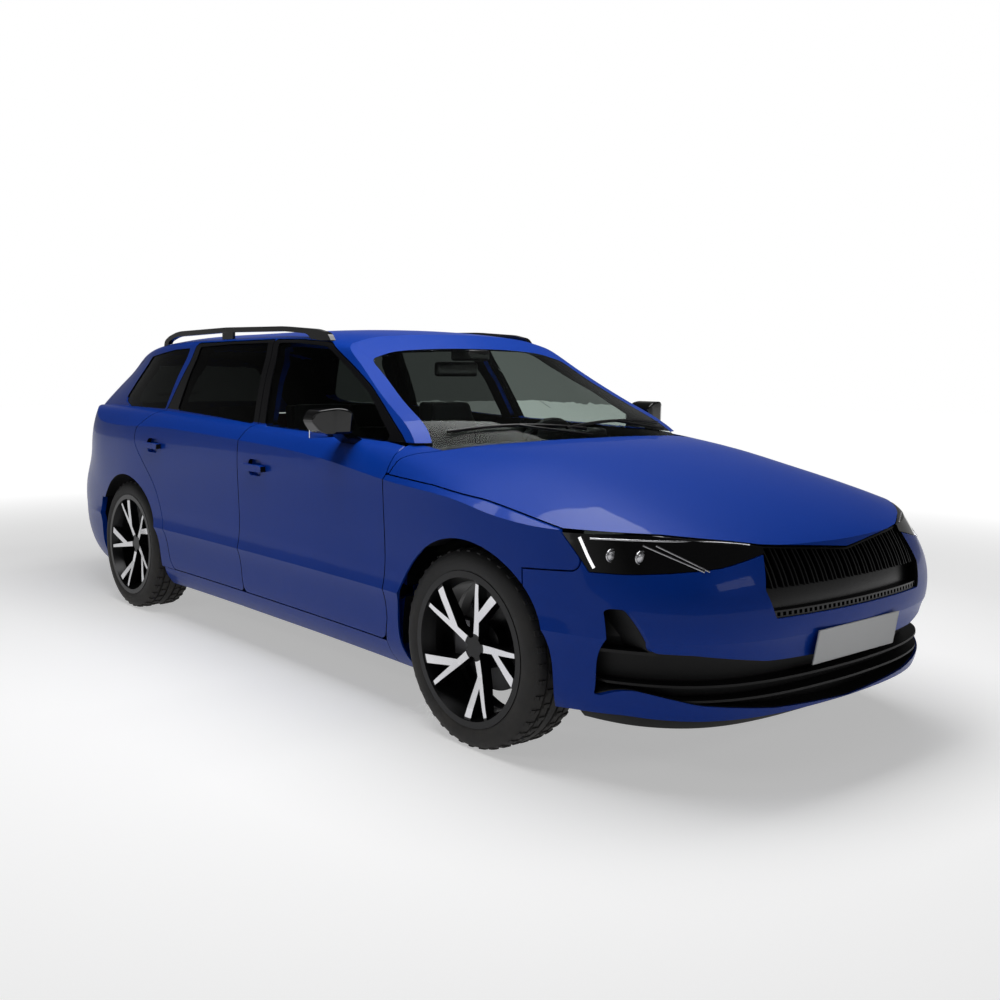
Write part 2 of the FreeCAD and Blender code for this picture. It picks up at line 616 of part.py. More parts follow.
def handle(place):
    """Pull handle and the cup behind it, at a (station, height) place on a door's skin."""
    share, height = place
    middle = station(share)
    level = height * HEIGHT
    half = HANDLE_LENGTH / 2
    cup = [(middle + half * u, level + CUP_HEIGHT / 2 * v, CUP_HEIGHT / 3) for u, v in ((-0.7, -1), (-0.7, 1), (0.6, 1), (0.6, -1))]
    bar = [(middle - half, level - GRIP, GRIP), (middle - half, level + GRIP, GRIP), (middle + half, level + GRIP, GRIP), (middle + half, level - GRIP, GRIP)]
    cup = prism(cup, "side", -HALF_WIDTH * 2, 0).cut(HULL.low(LID_DEPTH))
    proud = HULL.low(-HANDLE_PROUD)
    bar = prism(bar, "side", -HALF_WIDTH * 2, 0).common(proud.cut(HULL.low(-LIP)))
    feet = [
        block(middle + u * half - GRIP, middle + u * half + GRIP, -HALF_WIDTH * 2, 0, level - GRIP * 0.8, level + GRIP * 0.8)
        for u in (-0.85, 0.85)
    ]
    feet = joined(feet).common(proud.cut(HULL.low(PANEL)))
    return cup, bar.fuse(feet)


def door(outline, window, pin_x, pin_y, heights, pocket, handle_place):
    """A door of the right side: outer lip, deep lower body, upper frame, handle and hinge straps."""
    nominal = side_prism(outline, -SHUT_GAP / 2)
    outboard = block(-CAR_LENGTH, CAR_LENGTH, -HALF_WIDTH * 2, -DOOR_TOP_HALF, 0, HEIGHT * 2)
    body = HULL.whole().common(nominal.common(outboard))
    inside = block(-CAR_LENGTH, CAR_LENGTH, -DOOR_INNER, 0, 0, BELT - JAMB)
    ring = nominal.cut([side_prism(outline, -LIP_REACH), block(-CAR_LENGTH, CAR_LENGTH, -HALF_WIDTH * 2, 0, BELT, HEIGHT * 2)])
    ahead = nominal.copy()
    ahead.translate(V(LIP_REACH, 0, 0))
    edge = nominal.cut([ahead, block(-CAR_LENGTH, CAR_LENGTH, -HALF_WIDTH * 2, 0, 0, BELT - JAMB)])
    hem = HULL.low(HEM)
    cuts = [inside, HULL.cabin(FRAME_DEPTH), ring.common(hem), edge.common(HULL.cabin(FRAME_LIP)), side_prism(window)]
    if pocket:
        cuts.append(pocket.common(hem))
    cup, grip = handle(handle_place)
    body = body.cut(cuts + [cup])
    front = max(station(s) for s, z, r in outline) - LIP_REACH
    straps, pins = hinge_parts(pin_x, pin_y, heights, front - LIP)
    return joined([body, grip] + straps), pins


def glass(window, inset=GLASS_SET):
    """Side glass, let into its window."""
    shell = HULL.cabin(inset).cut(HULL.cabin(inset + GLASS_THICK))
    return shell.common(side_prism(window, -SEAT_GAP))


def cross_hinge(x, z, y, away):
    """Barrel of a lid's hinge, and the pin with its cheeks that the body carries, about a line across the car."""
    half = STRAP_HEIGHT / 3
    barrel = rod(V(x, y - half, z), V(x, y + half, z), BARREL)
    bore = rod(V(x, y - half - OVERRUN, z), V(x, y + half + OVERRUN, z), PIN + PIN_GAP)
    pin = rod(V(x, y - half - 2 * LEAF, z), V(x, y + half + 2 * LEAF, z), PIN)
    cheeks = [
        block(x - BARREL, x + BARREL, y + side * (half + LEAF_GAP + LEAF / 2) - LEAF / 2, y + side * (half + LEAF_GAP + LEAF / 2) + LEAF / 2, z - away, z + BARREL)
        for side in (-1, 1)
    ]
    return barrel, bore, [pin] + cheeks


# Side views of the lids' necks, from the pin, as shares of the neck's size
BONNET_NECK = 100.0
NECK_ROOM = STRAP_HEIGHT / 3 + LEAF_GAP
BONNET_NECK_SHARES = [
    (-0.053, -0.028), (0.339, -0.766), (1.064, -0.766), (1.064, 0.6),
    (0.944, 0.6), (0.944, -0.646), (0.411, -0.646), (0.053, 0.028),
]


def neck(pin_x, pin_z, pin_half, shares, unit):
    """The bent strap of a lid's hinge."""
    line = [(pin_x + x * unit, pin_z + z * unit, 0.0) for x, z in shares]
    return prism(line, "side", -pin_half - STRAP_HEIGHT / 3, -pin_half + STRAP_HEIGHT / 3)


def bonnet_strap():
    """Goose-neck strap between the bonnet's hinge and its underside, right side."""
    barrel, bore, pins = cross_hinge(BONNET_PIN_X, BONNET_PIN_Z, -BONNET_PIN_HALF, BONNET_PIN_DROP)
    bent = neck(BONNET_PIN_X, BONNET_PIN_Z, BONNET_PIN_HALF, BONNET_NECK_SHARES, BONNET_NECK)
    return barrel.fuse(bent.common(HULL.low(LID_DEPTH / 2))).cut(bore), pins


GATE_NECK_SHARES = [
    (0.06, 0.0), (-0.1, -0.97), (-1.8, -0.97), (-1.8, 0.2), (-1.45, 0.2), (-1.45, -0.82), (-0.26, -0.82), (-0.06, 0.0),
]


def tailgate_strap():
    """Goose-neck strap between the tailgate's hinge and its upper rail, right side."""
    barrel, bore, pins = cross_hinge(GATE_PIN_X, GATE_PIN_Z, -GATE_PIN_HALF, 0.0)
    bent = neck(GATE_PIN_X, GATE_PIN_Z, GATE_PIN_HALF, GATE_NECK_SHARES, GATE_NECK)
    return barrel.fuse(bent.common(HULL.cabin(FRAME_LIP))).cut(bore), pins


def tailgate_space(grow=0.0):
    """The room of the tailgate: its side outline above the lamps and its rear outline between them."""
    upper = prism(side_shares(TAILGATE_SIDE_SHARES), "side", -HALF_WIDTH * 2, 0, grow)
    lower = prism(front_shares(TAILGATE_LOW_SHARES), "front", TAIL - OVERRUN, station(-0.70), grow)
    return upper, lower


def body_side(front_pins, rear_pins, pin_x, rear_x, pin_y, heights):
    """Sill, posts, roof rail and rear quarter of the right side."""
    upper = HULL.cabin().cut(HULL.cabin(PILLAR_DEPTH, PILLAR_DEPTH * 0.7))
    below = block(-CAR_LENGTH, CAR_LENGTH, -HALF_WIDTH * 2, 0, 0, BELT - JAMB)
    upper = upper.cut(below)
    outlines = (FRONT_DOOR_SHARES, REAR_DOOR_SHARES)
    outboard = block(-CAR_LENGTH, CAR_LENGTH, -HALF_WIDTH * 2, -DOOR_TOP_HALF + SHUT_GAP, 0, HEIGHT * 2)
    outer = [side_prism(o, SHUT_GAP / 2).common(outboard).cut(HULL.cabin(FRAME_DEPTH + SHUT_GAP)) for o in outlines]
    inner = [side_prism(o, -LIP_REACH - JAMB / 2) for o in outlines]
    windows = [side_prism(QUARTER_WINDOW_SHARES)]
    screen = HULL.cabin(SCREEN_FRAME, 0.0).common(block(station(0.5), NOSE, -HALF_WIDTH * 2, 0, 0, HEIGHT * 2))
    screen = screen.cut(HULL.cabin(PILLAR_DEPTH, PILLAR_DEPTH * 0.7))
    gate, lamp = tailgate_space(SHUT_GAP / 2)
    roof = block(station(TAILGATE_SIDE_SHARES[0][0]), CAR_LENGTH, -ROOF_HALF - SEAT_GAP, 0, 0, HEIGHT * 2)
    upper = upper.cut(outer + inner + windows + [screen, gate, roof])
    quarter = HULL.low().cut(HULL.low(PANEL))
    quarter = quarter.common(block(TAIL - OVERRUN, station(0.25), -HALF_WIDTH - OVERRUN, -ROOF_HALF - SEAT_GAP, 0, HEIGHT))
    seam = REAR_SEAM_SHARES + [(-1.1, 0.0, 0.0), (-0.25, 0.0, 0.0), (-0.25, 0.375, 0.0)]
    lamp_cut = side_prism(TAIL_LAMP_SHARES, SEAT_GAP)
    sill_cut = block(station(0.0), station(1.0), -HALF_WIDTH * 2, 0, 0, SILL_TOP)
    below_cabin = HULL.cabin(FRAME_LIP)
    quarter = quarter.cut(
        [side_prism(QUARTER_WINDOW_SHARES), side_prism(REAR_DOOR_SHARES, SHUT_GAP / 2), side_prism(FRONT_DOOR_SHARES, SHUT_GAP / 2), side_prism(seam, SEAT_GAP), gate, lamp]
        + [arch_bore(REAR_AXLE, ARCH_RADIUS), lamp_cut, sill_cut, below_cabin]
    )
    side, front, plan = bonnet_space(SHUT_GAP / 2)
    foot = HULL.low().cut(HULL.low(PANEL)).common(block(station(0.78), station(0.92), -HALF_WIDTH * 2, -DOOR_INNER + POST_WALL, 0.602 * HEIGHT, HEIGHT))
    foot = foot.cut([side_prism(FRONT_DOOR_SHARES, SHUT_GAP / 2), side.common(plan), HULL.cabin(FRAME_LIP)])
    sill_room = block(station(0.1), station(0.845), -HALF_WIDTH * 2, -DOOR_INNER + POST_WALL, SILL_FOOT, SILL_TOP - SHUT_GAP / 2)
    sill = HULL.low().common(sill_room)
    step = block(station(0.1), station(0.845), -DOOR_INNER + SHUT_GAP, -DOOR_INNER + POST_WALL, SILL_FOOT, SILL_TOP + 3 * JAMB)
    wing_room = block(station(0.829), station(1), -HALF_WIDTH * 2, 0, 0, HEIGHT).cut(HULL.low(WING_SKIN + SHUT_GAP))
    wheel_room = [arch_bore(REAR_AXLE, LINER_RADIUS), arch_bore(FRONT_AXLE, LINER_RADIUS)]
    sill = sill.fuse(step).cut([wing_room] + wheel_room)
    post = block(rear_x - 2 * POST_WALL, rear_x + POST_WALL, -DOOR_INNER + SHUT_GAP, -DOOR_INNER + POST_WALL, SILL_FOOT, BELT)
    shelf_room = block(-CAR_LENGTH, CAR_LENGTH, -HALF_WIDTH * 2, 0, BELT - JAMB - SHUT_GAP, HEIGHT * 2)
    post = post.cut(shelf_room.cut(HULL.cabin(FRAME_DEPTH + SHUT_GAP)))
    hinge_post = block(pin_x - 2 * LIP_REACH, pin_x + JAMB, pin_y + 4 * PIN, -DOOR_INNER + POST_WALL, SILL_FOOT, BELT - 3 * JAMB)
    hinge_post = hinge_post.cut(block(-CAR_LENGTH, station(0.838) + SHUT_GAP, -HALF_WIDTH, -DOOR_INNER + SHUT_GAP, 0, HEIGHT))
    slots = [
        block(pin_x - 4 * LIP_REACH, pin_x + JAMB * 2, -HALF_WIDTH, -DOOR_INNER + SHUT_GAP, z - STRAP_HEIGHT / 2 - LEAF_GAP, z + STRAP_HEIGHT / 2 + LEAF_GAP)
        for z in heights
    ]
    leaves = []
    for x in (pin_x, rear_x):
        for z in heights:
            for low in (z - STRAP_HEIGHT / 2 - LEAF_GAP - LEAF, z + STRAP_HEIGHT / 2 + LEAF_GAP):
                leaves.append(block(x - PIN, x + BARREL, pin_y, -DOOR_INNER + POST_WALL / 2, low, low + LEAF))
    lid_room = block(0, NOSE, -HALF_WIDTH, 0, BONNET_PIN_Z - BONNET_PIN_DROP, HEIGHT)
    neck_room = block(0, NOSE, -BONNET_PIN_HALF - NECK_ROOM, -BONNET_PIN_HALF + NECK_ROOM, BONNET_PIN_Z - BONNET_NECK, HEIGHT)
    hinge_post = hinge_post.cut(slots + [lid_room, neck_room, wing_room])
    lid_pins = bonnet_strap()[1]
    house = arch_bore(REAR_AXLE, LINER_RADIUS + LINER_WALL, HOUSE_IN).cut(arch_bore(REAR_AXLE, LINER_RADIUS))
    house = house.common(HULL.low(WING_SKIN / 2)).cut(side_prism(seam, SEAT_GAP))
    house = house.cut(block(-CAR_LENGTH, 0, -HALF_WIDTH, 0, 0, HOUSE_FOOT))
    posts = joined([post, hinge_post] + leaves + front_pins + rear_pins + lid_pins).cut(
        wheel_room
    )
    return joined([sill, posts, quarter, upper, foot, house])


def roof_panel():
    """The roof skin between the rails with its front and rear cross rails."""
    shell = HULL.cabin().cut(HULL.cabin(SCREEN_FRAME, 0.0))
    gate, lamp = tailgate_space(SHUT_GAP / 2)
    band = block(station(TAILGATE_SIDE_SHARES[0][0]), NOSE, -ROOF_HALF, 0, BELT * 1.1, HEIGHT * 2)
    half = shell.common(band).cut(gate)
    well = block(station(-0.4), GATE_PIN_X + LIP_REACH, -GATE_PIN_HALF - STRAP_HEIGHT * 0.45, -GATE_PIN_HALF + STRAP_HEIGHT * 0.45, 0, HEIGHT)
    half = half.cut(well.common(HULL.cabin(FRAME_LIP)))
    pin = rod(V(GATE_PIN_X, -GATE_PIN_HALF - STRAP_HEIGHT, GATE_PIN_Z), V(GATE_PIN_X, -GATE_PIN_HALF + STRAP_HEIGHT, GATE_PIN_Z), PIN)
    return mirror_joined(half.fuse(pin))


def mirror_joined(half):
    """A whole piece from its right half."""
    return half.fuse(left_of(half))


def bonnet_space(grow):
    """The room of the bonnet above the shoulder line and the lamps, seen from the side, the front and above."""
    top = (2.1, 0.9, 0.0)
    side = BONNET_EDGE_SHARES + [(BONNET_EDGE_SHARES[-1][0], 0.9, 0.0), (0.838, 0.9, 0.0)]
    side = prism(side_shares(side), "side", -HALF_WIDTH * 2, HALF_WIDTH * 2, grow)
    front = BONNET_FRONT_SHARES + [(1.2, 0.9, 0.0), (-1.2, 0.9, 0.0)]
    front = prism(front_shares(front), "front", station(1.3), NOSE + OVERRUN, grow)
    plan = BONNET_BACK_SHARES + [(2.2, 1.02, 0.0), (2.2, -1.02, 0.0)]
    plan = prism(plan_shares(plan), "plan", 0, HEIGHT, grow)
    rear = block(0, station(1.45), -HALF_WIDTH * 2, HALF_WIDTH * 2, 0, HEIGHT)
    return side.common(rear), front.cut(rear), plan


def front_wing():
    """The wing behind the bumper and below the bonnet, with the liner over the wheel."""
    side, front, plan = bonnet_space(SHUT_GAP / 2)
    outline = [(0.838, 0.60, 0.0), (0.838, 0.24, 0.05), (0.829, 0.182, 0.03), (0.829, 0.11, 0.0), (1.30, 0.11, 0.0)]
    outline += WING_SEAM_SHARES + [(1.447, 0.60, 0.0)]
    skin = HULL.low().cut(HULL.low(WING_SKIN)).common(side_prism(outline, -SHUT_GAP / 2))
    skin = skin.cut([side, arch_bore(FRONT_AXLE, ARCH_RADIUS)])
    skin = skin.cut(block(0, NOSE, -HALF_WIDTH * 0.85, 0, 0, HEIGHT))
    ahead = block(station(1.2), NOSE, -HALF_WIDTH * 2, 0, -HEIGHT, 0.437 * HEIGHT)
    below = block(0, NOSE, -HALF_WIDTH * 2, 0, -HEIGHT, SILL_TOP)
    behind = block(-CAR_LENGTH, station(0.838) + SHUT_GAP, -HALF_WIDTH * 2, 0, 0, HEIGHT)
    strut_hole = rod(kingpin(TYRE_RADIUS), kingpin(STRUT_TOP), SPRING_RADIUS + STRUT_TUBE)
    liner = arch_bore(FRONT_AXLE, LINER_RADIUS + LINER_WALL, LINER_IN).cut(arch_bore(FRONT_AXLE, LINER_RADIUS))
    liner = liner.common(HULL.low(WING_SKIN / 2)).cut([below, strut_hole, ahead.cut(HULL.low(PANEL * 2 + 2 * SEAT_GAP))])
    lip = arch_bore(FRONT_AXLE, LINER_RADIUS + LINER_WALL, HALF_WIDTH * 0.9).cut(arch_bore(FRONT_AXLE, ARCH_RADIUS))
    lip = lip.common(HULL.low(WING_SKIN / 2)).cut([below, ahead, behind])
    wheel_side = block(-CAR_LENGTH, station(0.93), -HALF_WIDTH * 2, 0, 0, HEIGHT)
    return joined([skin, liner.cut(wheel_side), lip.cut(wheel_side)])


def grille_room(shares, grow=0.0):
    """The room of an opening in the nose."""
    return prism(front_shares(shares), "front", station(1.3), NOSE + OVERRUN, grow)


def front_bumper():
    """Bumper cover below the bonnet and the lamps, open at the grille and at the wide intake."""
    side, front, plan = bonnet_space(SHUT_GAP / 2)
    shell = HULL.low().cut(HULL.low(PANEL * 2))
    outline = BUMPER_FOOT_SHARES[:1] + WING_SEAM_SHARES + [(1.447, 0.60, 0.0), (2.2, 0.60, 0.0)] + BUMPER_FOOT_SHARES[:0:-1]
    cover = shell.common(side_prism(outline, -SHUT_GAP / 2))
    cover = cover.cut([side, front, arch_bore(FRONT_AXLE, ARCH_RADIUS), lamp_space(SHUT_GAP / 2)])
    brow = block(station(1.44), NOSE, -HALF_WIDTH, -0.43 * HALF_WIDTH, 0.494 * HEIGHT, HEIGHT)
    over_grille = block(station(1.6), NOSE, -0.43 * HALF_WIDTH, 0, 0.47 * HEIGHT, HEIGHT)
    cover = cover.cut([grille_room(GRILLE_SHARES), grille_room(INTAKE_SHARES), brow, over_grille])
    return mirror_joined(cover)


def lamp_space(grow=0.0):
    """The room of the right headlamp."""
    front = prism(front_shares(LAMP_FRONT_SHARES), "front", station(1.2), NOSE, grow)
    return front.common(prism(side_shares(LAMP_BACK_SHARES), "side", -HALF_WIDTH * 2, 0, grow))


def headlamp():
    side, front, plan = bonnet_space(SHUT_GAP / 2)
    shell = HULL.low(LENS_SET).cut(HULL.low(LENS_SET + LAMP_DEPTH))
    return shell.common(lamp_space(-SEAT_GAP)).cut([front, side])


def nose_slab(depth, thick):
    """A curved slab that follows the nose over the grille's height, set back from the skin."""
    rows = []
    for across in GRILLE_ACROSS_SHARES:
        row = []
        for level in GRILLE_LEVEL_SHARES:
            foot = V(station(1.3), -max(abs(across) * HALF_WIDTH, SEAT_GAP), level * HEIGHT)
            line = Part.makeLine(foot, foot + V(CAR_LENGTH, 0, 0)).common(HULL.low())
            row.append(V(max(v.X for v in line.Vertexes) - depth, across * HALF_WIDTH, foot.z))
        rows.append(row)
    return skin_surface(rows).extrude(V(-thick, 0, 0))


def grille_comb():
    """The open space between the grille's ribs, down to its teeth, as a comb in front view."""
    points = [(0, TOOTH_TOP, 0), (-HALF_WIDTH, TOOTH_TOP, 0), (-HALF_WIDTH, HEIGHT, 0)]
    for k in range(RIB_PAIRS - 1, -1, -1):
        for share in RIB_PAIR_SHARES[::-1]:
            y = -(k + share) * RIB_PITCH
            points += [(y - RIB / 2, HEIGHT, 0), (y - RIB / 2, RIB_FOOT, 0), (y + RIB / 2, RIB_FOOT, 0), (y + RIB / 2, HEIGHT, 0)]
    points.append((0, HEIGHT, 0))
    return prism(points, "front", station(1.3), NOSE + OVERRUN)


def grille():
    """The grille set back in its opening: a rim, pairs of upright ribs, a row of teeth and a backing plate."""
    half = block(station(1.3), NOSE + OVERRUN, -HALF_WIDTH, 0, 0, HEIGHT)
    room = grille_room(GRILLE_SHARES, -SEAT_GAP).common(half).cut(lamp_space(SEAT_GAP))
    inner = grille_room(GRILLE_SHARES, -SEAT_GAP - RIB).common(half)
    spaces = [grille_comb()]
    for k in range(2 * RIB_PAIRS):
        y = -k * RIB_PITCH / 2
        spaces.append(block(station(1.3), NOSE + OVERRUN, y - TOOTH_GAP / 2, y + TOOTH_GAP / 2, 0, TOOTH_TOP - RIB))
    hollow = inner.common(spaces).common(nose_slab(0, GRILLE_SET + 2 * PANEL))
    return mirror_joined(room.common(nose_slab(GRILLE_SET, 2 * PANEL + LIP)).cut(hollow))


def lower_grille():
    """The wide intake: walls round its opening, thin blades across it and a plate behind them."""
    ahead = block(station(1.46), NOSE, -HALF_WIDTH, 0, 0, HEIGHT)
    room = grille_room(INTAKE_SHARES, -SEAT_GAP).common(ahead)
    deep = HULL.low(LENS_SET + LAMP_DEPTH)
    plate = room.common(deep).cut(HULL.low(LENS_SET + LAMP_DEPTH + PANEL))
    plate = plate.cut(arch_bore(FRONT_AXLE, LINER_RADIUS + SHUT_GAP))
    walls = room.common(HULL.low(GRILLE_SET)).cut(deep)
    blades = [room.cut(grille_room(INTAKE_SHARES, -SEAT_GAP - RIB / 2))]
    for z0, z1, y0, y1 in INTAKE_BLADE_SHARES:
        blades.append(block(station(1.3), NOSE, y0 * HALF_WIDTH, y1 * HALF_WIDTH, z0 * HEIGHT, z1 * HEIGHT))
    return mirror_joined(walls.common(blades).fuse(plate))


def undertray():
    """Dark splitter below the bumper with the tray behind it."""
    inner = HULL.low(LENS_SET + LAMP_DEPTH)
    band = inner.cut(HULL.low(LENS_SET + LAMP_DEPTH + PANEL))
    foot = side_shares([(1.43, 0.118, 0.0), (1.43, 0.142, 0.0)] + BUMPER_FOOT_SHARES[2:] + [(2.2, 0.118, 0.0)])
    band = band.common(prism(foot, "side", -HALF_WIDTH, 0, -SEAT_GAP))
    tray = inner.common(block(station(1.47), NOSE, -HALF_WIDTH, 0, 0.118 * HEIGHT, 0.118 * HEIGHT + LINER_WALL))
    return mirror_joined(band.fuse(tray))


def rear_bumper():
    shell = HULL.low().cut(HULL.low(PANEL * 2))
    seam = REAR_SEAM_SHARES + [(-1.1, 0.08, 0.0), (-0.30, 0.08, 0.0)]
    cover = shell.common(side_prism(seam, -SEAT_GAP))
    gate, low = tailgate_space(SHUT_GAP / 2)
    cover = cover.cut([low, arch_bore(REAR_AXLE, ARCH_RADIUS)])
    return mirror_joined(cover)


def tail_lamp():
    gate, low = tailgate_space(SHUT_GAP / 2)
    shell = HULL.low().cut(HULL.low(PANEL * 2))
    return shell.common(side_prism(TAIL_LAMP_SHARES, -SEAT_GAP)).cut([low, gate])


def tailgate():
    """Tailgate with its window frame, and the lamps let into it."""
    gate, low = tailgate_space(-SHUT_GAP / 2)
    upper = HULL.cabin().cut(HULL.cabin(TAILGATE_DEPTH)).common(gate)
    edge_room = block(station(TAILGATE_SIDE_SHARES[0][0]) - FRAME_LIP * 1.5, 0, -HALF_WIDTH, 0, 0, HEIGHT * 2)
    upper = upper.cut(edge_room.common(HULL.cabin(GLASS_SET)))
    shell = HULL.low().cut(HULL.low(TAILGATE_DEPTH))
    lower = shell.common(low)
    window = prism(front_shares(TAILGATE_WINDOW_SHARES), "front", TAIL - OVERRUN, station(-0.5))
    lamps = prism(front_shares(GATE_LAMP_SHARES), "front", TAIL - OVERRUN, station(-0.7))
    lamp = HULL.low().cut(HULL.low(LAMP_DEPTH / 4)).common(lamps)
    body = joined([upper, lower, tailgate_strap()[0]]).cut([window, lamps.cut(HULL.low(LAMP_DEPTH / 4 + SEAT_GAP))])
    pane = HULL.cabin(GLASS_SET).cut(HULL.cabin(GLASS_SET + GLASS_THICK))
    small = prism(front_shares(TAILGATE_WINDOW_SHARES), "front", TAIL - OVERRUN, station(-0.5), -SEAT_GAP)
    lamp = lamp.common(prism(front_shares(GATE_LAMP_SHARES), "front", TAIL - OVERRUN, station(-0.7), -SEAT_GAP))
    return mirror_joined(body), mirror_joined(pane.common(small)), pair(lamp)


def windscreen():
    """The windscreen between the pillars, from the cowl to the roof."""
    pane = HULL.cabin(SCREEN_FRAME + SEAT_GAP, 0.0)
    front = block(station(0.5), NOSE, -HALF_WIDTH, 0, BELT * 0.955, HEIGHT * 2)
    pane = pane.common(front).cut(HULL.cabin(SCREEN_FRAME + SEAT_GAP, GLASS_THICK))
    return mirror_joined(pane)


# Steering axis, struts, hubs and brakes
KINGPIN_HALF = 705.0
KINGPIN_FOOT = 200.0
KINGPIN_LEAN = 11.0
STRUT_TOP = 836.0
STRUT_ROD = 11.0
STRUT_TUBE = 25.0
SPRING_RADIUS = 60.0
SPRING_WIRE = 12.0
STUD = 9.0
STUB_RADIUS = 22.0
HUB_RADIUS = 42.0
DISC_RADIUS = 156.0
DISC_THICK = 22.0
RUN_GAP = 0.4
BRAKE_GAP = 2.5
BEAD_RADIUS = 241.3
UPRIGHT = 44.0
ARM_THICK = 20.0
SPOKE_COUNT = 5
FRONT_SPOKE_TURN = 6.0
REAR_SPOKE_TURN = -26.0
# Half section of the tyre: share of the width from the middle, share of the radius
TYRE_SHARES = [(-0.42, 0.7366), (-0.43, 0.792), (-0.485, 0.83), (-0.5, 0.885), (-0.485, 0.94), (-0.43, 0.982), (-0.25, 0.998), (0.0, 1.0)]
# Rim section the same way: outer flange, bead seats and well
RIM_OUTER_SHARES = [
    (-0.485, 0.72), (-0.485, 0.787), (-0.435, 0.787), (-0.425, 0.7357), (-0.33, 0.7357), (-0.25, 0.69), (0.10, 0.69), (0.25, 0.7357),
    (0.425, 0.7357), (0.435, 0.787), (0.465, 0.787), (0.465, 0.72), (0.25, 0.705), (0.10, 0.665), (-0.26, 0.665), (-0.40, 0.70),
]
# Dish of the spokes: share of the width outward from the middle, share of the radius
DISH_SHARES = [
    (0.13, 0.0), (0.13, 0.13), (0.20, 0.40), (0.31, 0.68), (0.33, 0.735), (0.47, 0.735), (0.445, 0.60), (0.36, 0.30), (0.32, 0.12), (0.32, 0.0),
]


def turned(points, centre):
    """A ring from (offset outward, radius) points about the wheel's axis, on the right of the car."""
    corners = [V(centre.x, centre.y - u, centre.z + r) for u, r in points]
    face = Part.Face(Part.makePolygon(corners + corners[:1]))
    return face.revolve(centre, V(0, 1, 0), 360)


def tyre(centre):
    half = [(u * TYRE_WIDTH, r * TYRE_RADIUS) for u, r in TYRE_SHARES]
    points = half + [(-u, r) for u, r in half[-2::-1]]
    return turned(points, centre)


def spoke(centre, angle):
    """One forked spoke: a thin straight limb and a wide blade that leaves it halfway."""
    reach, root = 0.735 * TYRE_RADIUS, 0.06 * TYRE_RADIUS

    def at(radius, degrees, across=0.0):
        turn = math.radians(angle + degrees)
        return (radius * math.cos(turn) - across * math.sin(turn), radius * math.sin(turn) + across * math.cos(turn), 0.0)

    limb = [at(root, 0, -root * 0.7), at(reach, 0, -root * 0.35), at(reach, 0, root * 0.35), at(root, 0, root * 0.7)]
    blade = [at(reach * 0.36, 0, -root * 0.3), at(reach, -27.0), at(reach, -19.5), at(reach * 0.52, 0, -root * 0.3)]
    parts = [prism(limb, "side", -TYRE_WIDTH, TYRE_WIDTH), prism(blade, "side", -TYRE_WIDTH, TYRE_WIDTH)]
    shape = joined(parts)
    shape.translate(centre)
    return shape


def rim(centre, turn):
    """Rim of one wheel in one piece with its brake disc and hub."""
    barrel = turned([(-u * TYRE_WIDTH, r * TYRE_RADIUS) for u, r in RIM_OUTER_SHARES], centre)
    dish = turned([(u * TYRE_WIDTH, r * TYRE_RADIUS) for u, r in DISH_SHARES], centre)
    spokes = joined([spoke(centre, turn + k * 360 / SPOKE_COUNT) for k in range(SPOKE_COUNT)])
    inner = V(centre.x, disc_middle(centre) + DISC_THICK / 2, centre.z)
    face = V(centre.x, centre.y - DISH_SHARES[0][0] * TYRE_WIDTH, centre.z)
    boss = rod(inner, face - V(0, DISC_THICK, 0), HUB_RADIUS)
    cap = rod(face, V(centre.x, centre.y - DISH_SHARES[-1][0] * TYRE_WIDTH - RUN_GAP, centre.z), HUB_RADIUS * 0.8)
    disc = rod(inner, inner - V(0, DISC_THICK, 0), DISC_RADIUS)
    bell = rod(inner - V(0, DISC_THICK, 0), face, DISC_RADIUS / 2)
    shape = joined([barrel, dish.common(spokes), boss, cap, disc, bell])
    bore = rod(inner + V(0, OVERRUN, 0), face + V(0, RUN_GAP, 0), STUB_RADIUS + RUN_GAP)
    return shape.cut(bore)


def disc_middle(centre):
    """The y of the brake disc's middle on the right."""
    return centre.y + TYRE_WIDTH * 0.12


def wheel_centre(axle):
    return V(axle, -TRACK / 2, TYRE_RADIUS)


def kingpin(z):
    """A point of the right steering axis at a height."""
    return V(FRONT_AXLE, -KINGPIN_HALF + (z - KINGPIN_FOOT) * math.tan(math.radians(KINGPIN_LEAN)), z)


def caliper(centre, angle):
    """A caliper that straddles the disc, with its bracket towards the middle of the car."""
    middle = disc_middle(centre)
    outer, inner = DISC_RADIUS * 1.1, DISC_RADIUS * 0.62
    body = block(inner, outer, middle - DISC_THICK * 1.6, middle + DISC_THICK * 2, -DISC_RADIUS * 0.4, DISC_RADIUS * 0.4)
    slot = block(0, DISC_RADIUS + BRAKE_GAP, middle - DISC_THICK / 2 - BRAKE_GAP, middle + DISC_THICK / 2 + BRAKE_GAP, -HEIGHT, HEIGHT)
    arm = block(0, outer, middle + DISC_THICK, middle + DISC_THICK * 2, -DISC_RADIUS * 0.22, DISC_RADIUS * 0.22)
    shape = body.cut(slot).fuse(arm)
    shape.rotate(V(), V(0, 1, 0), angle)
    shape.translate(V(centre.x, 0, centre.z))
    return shape


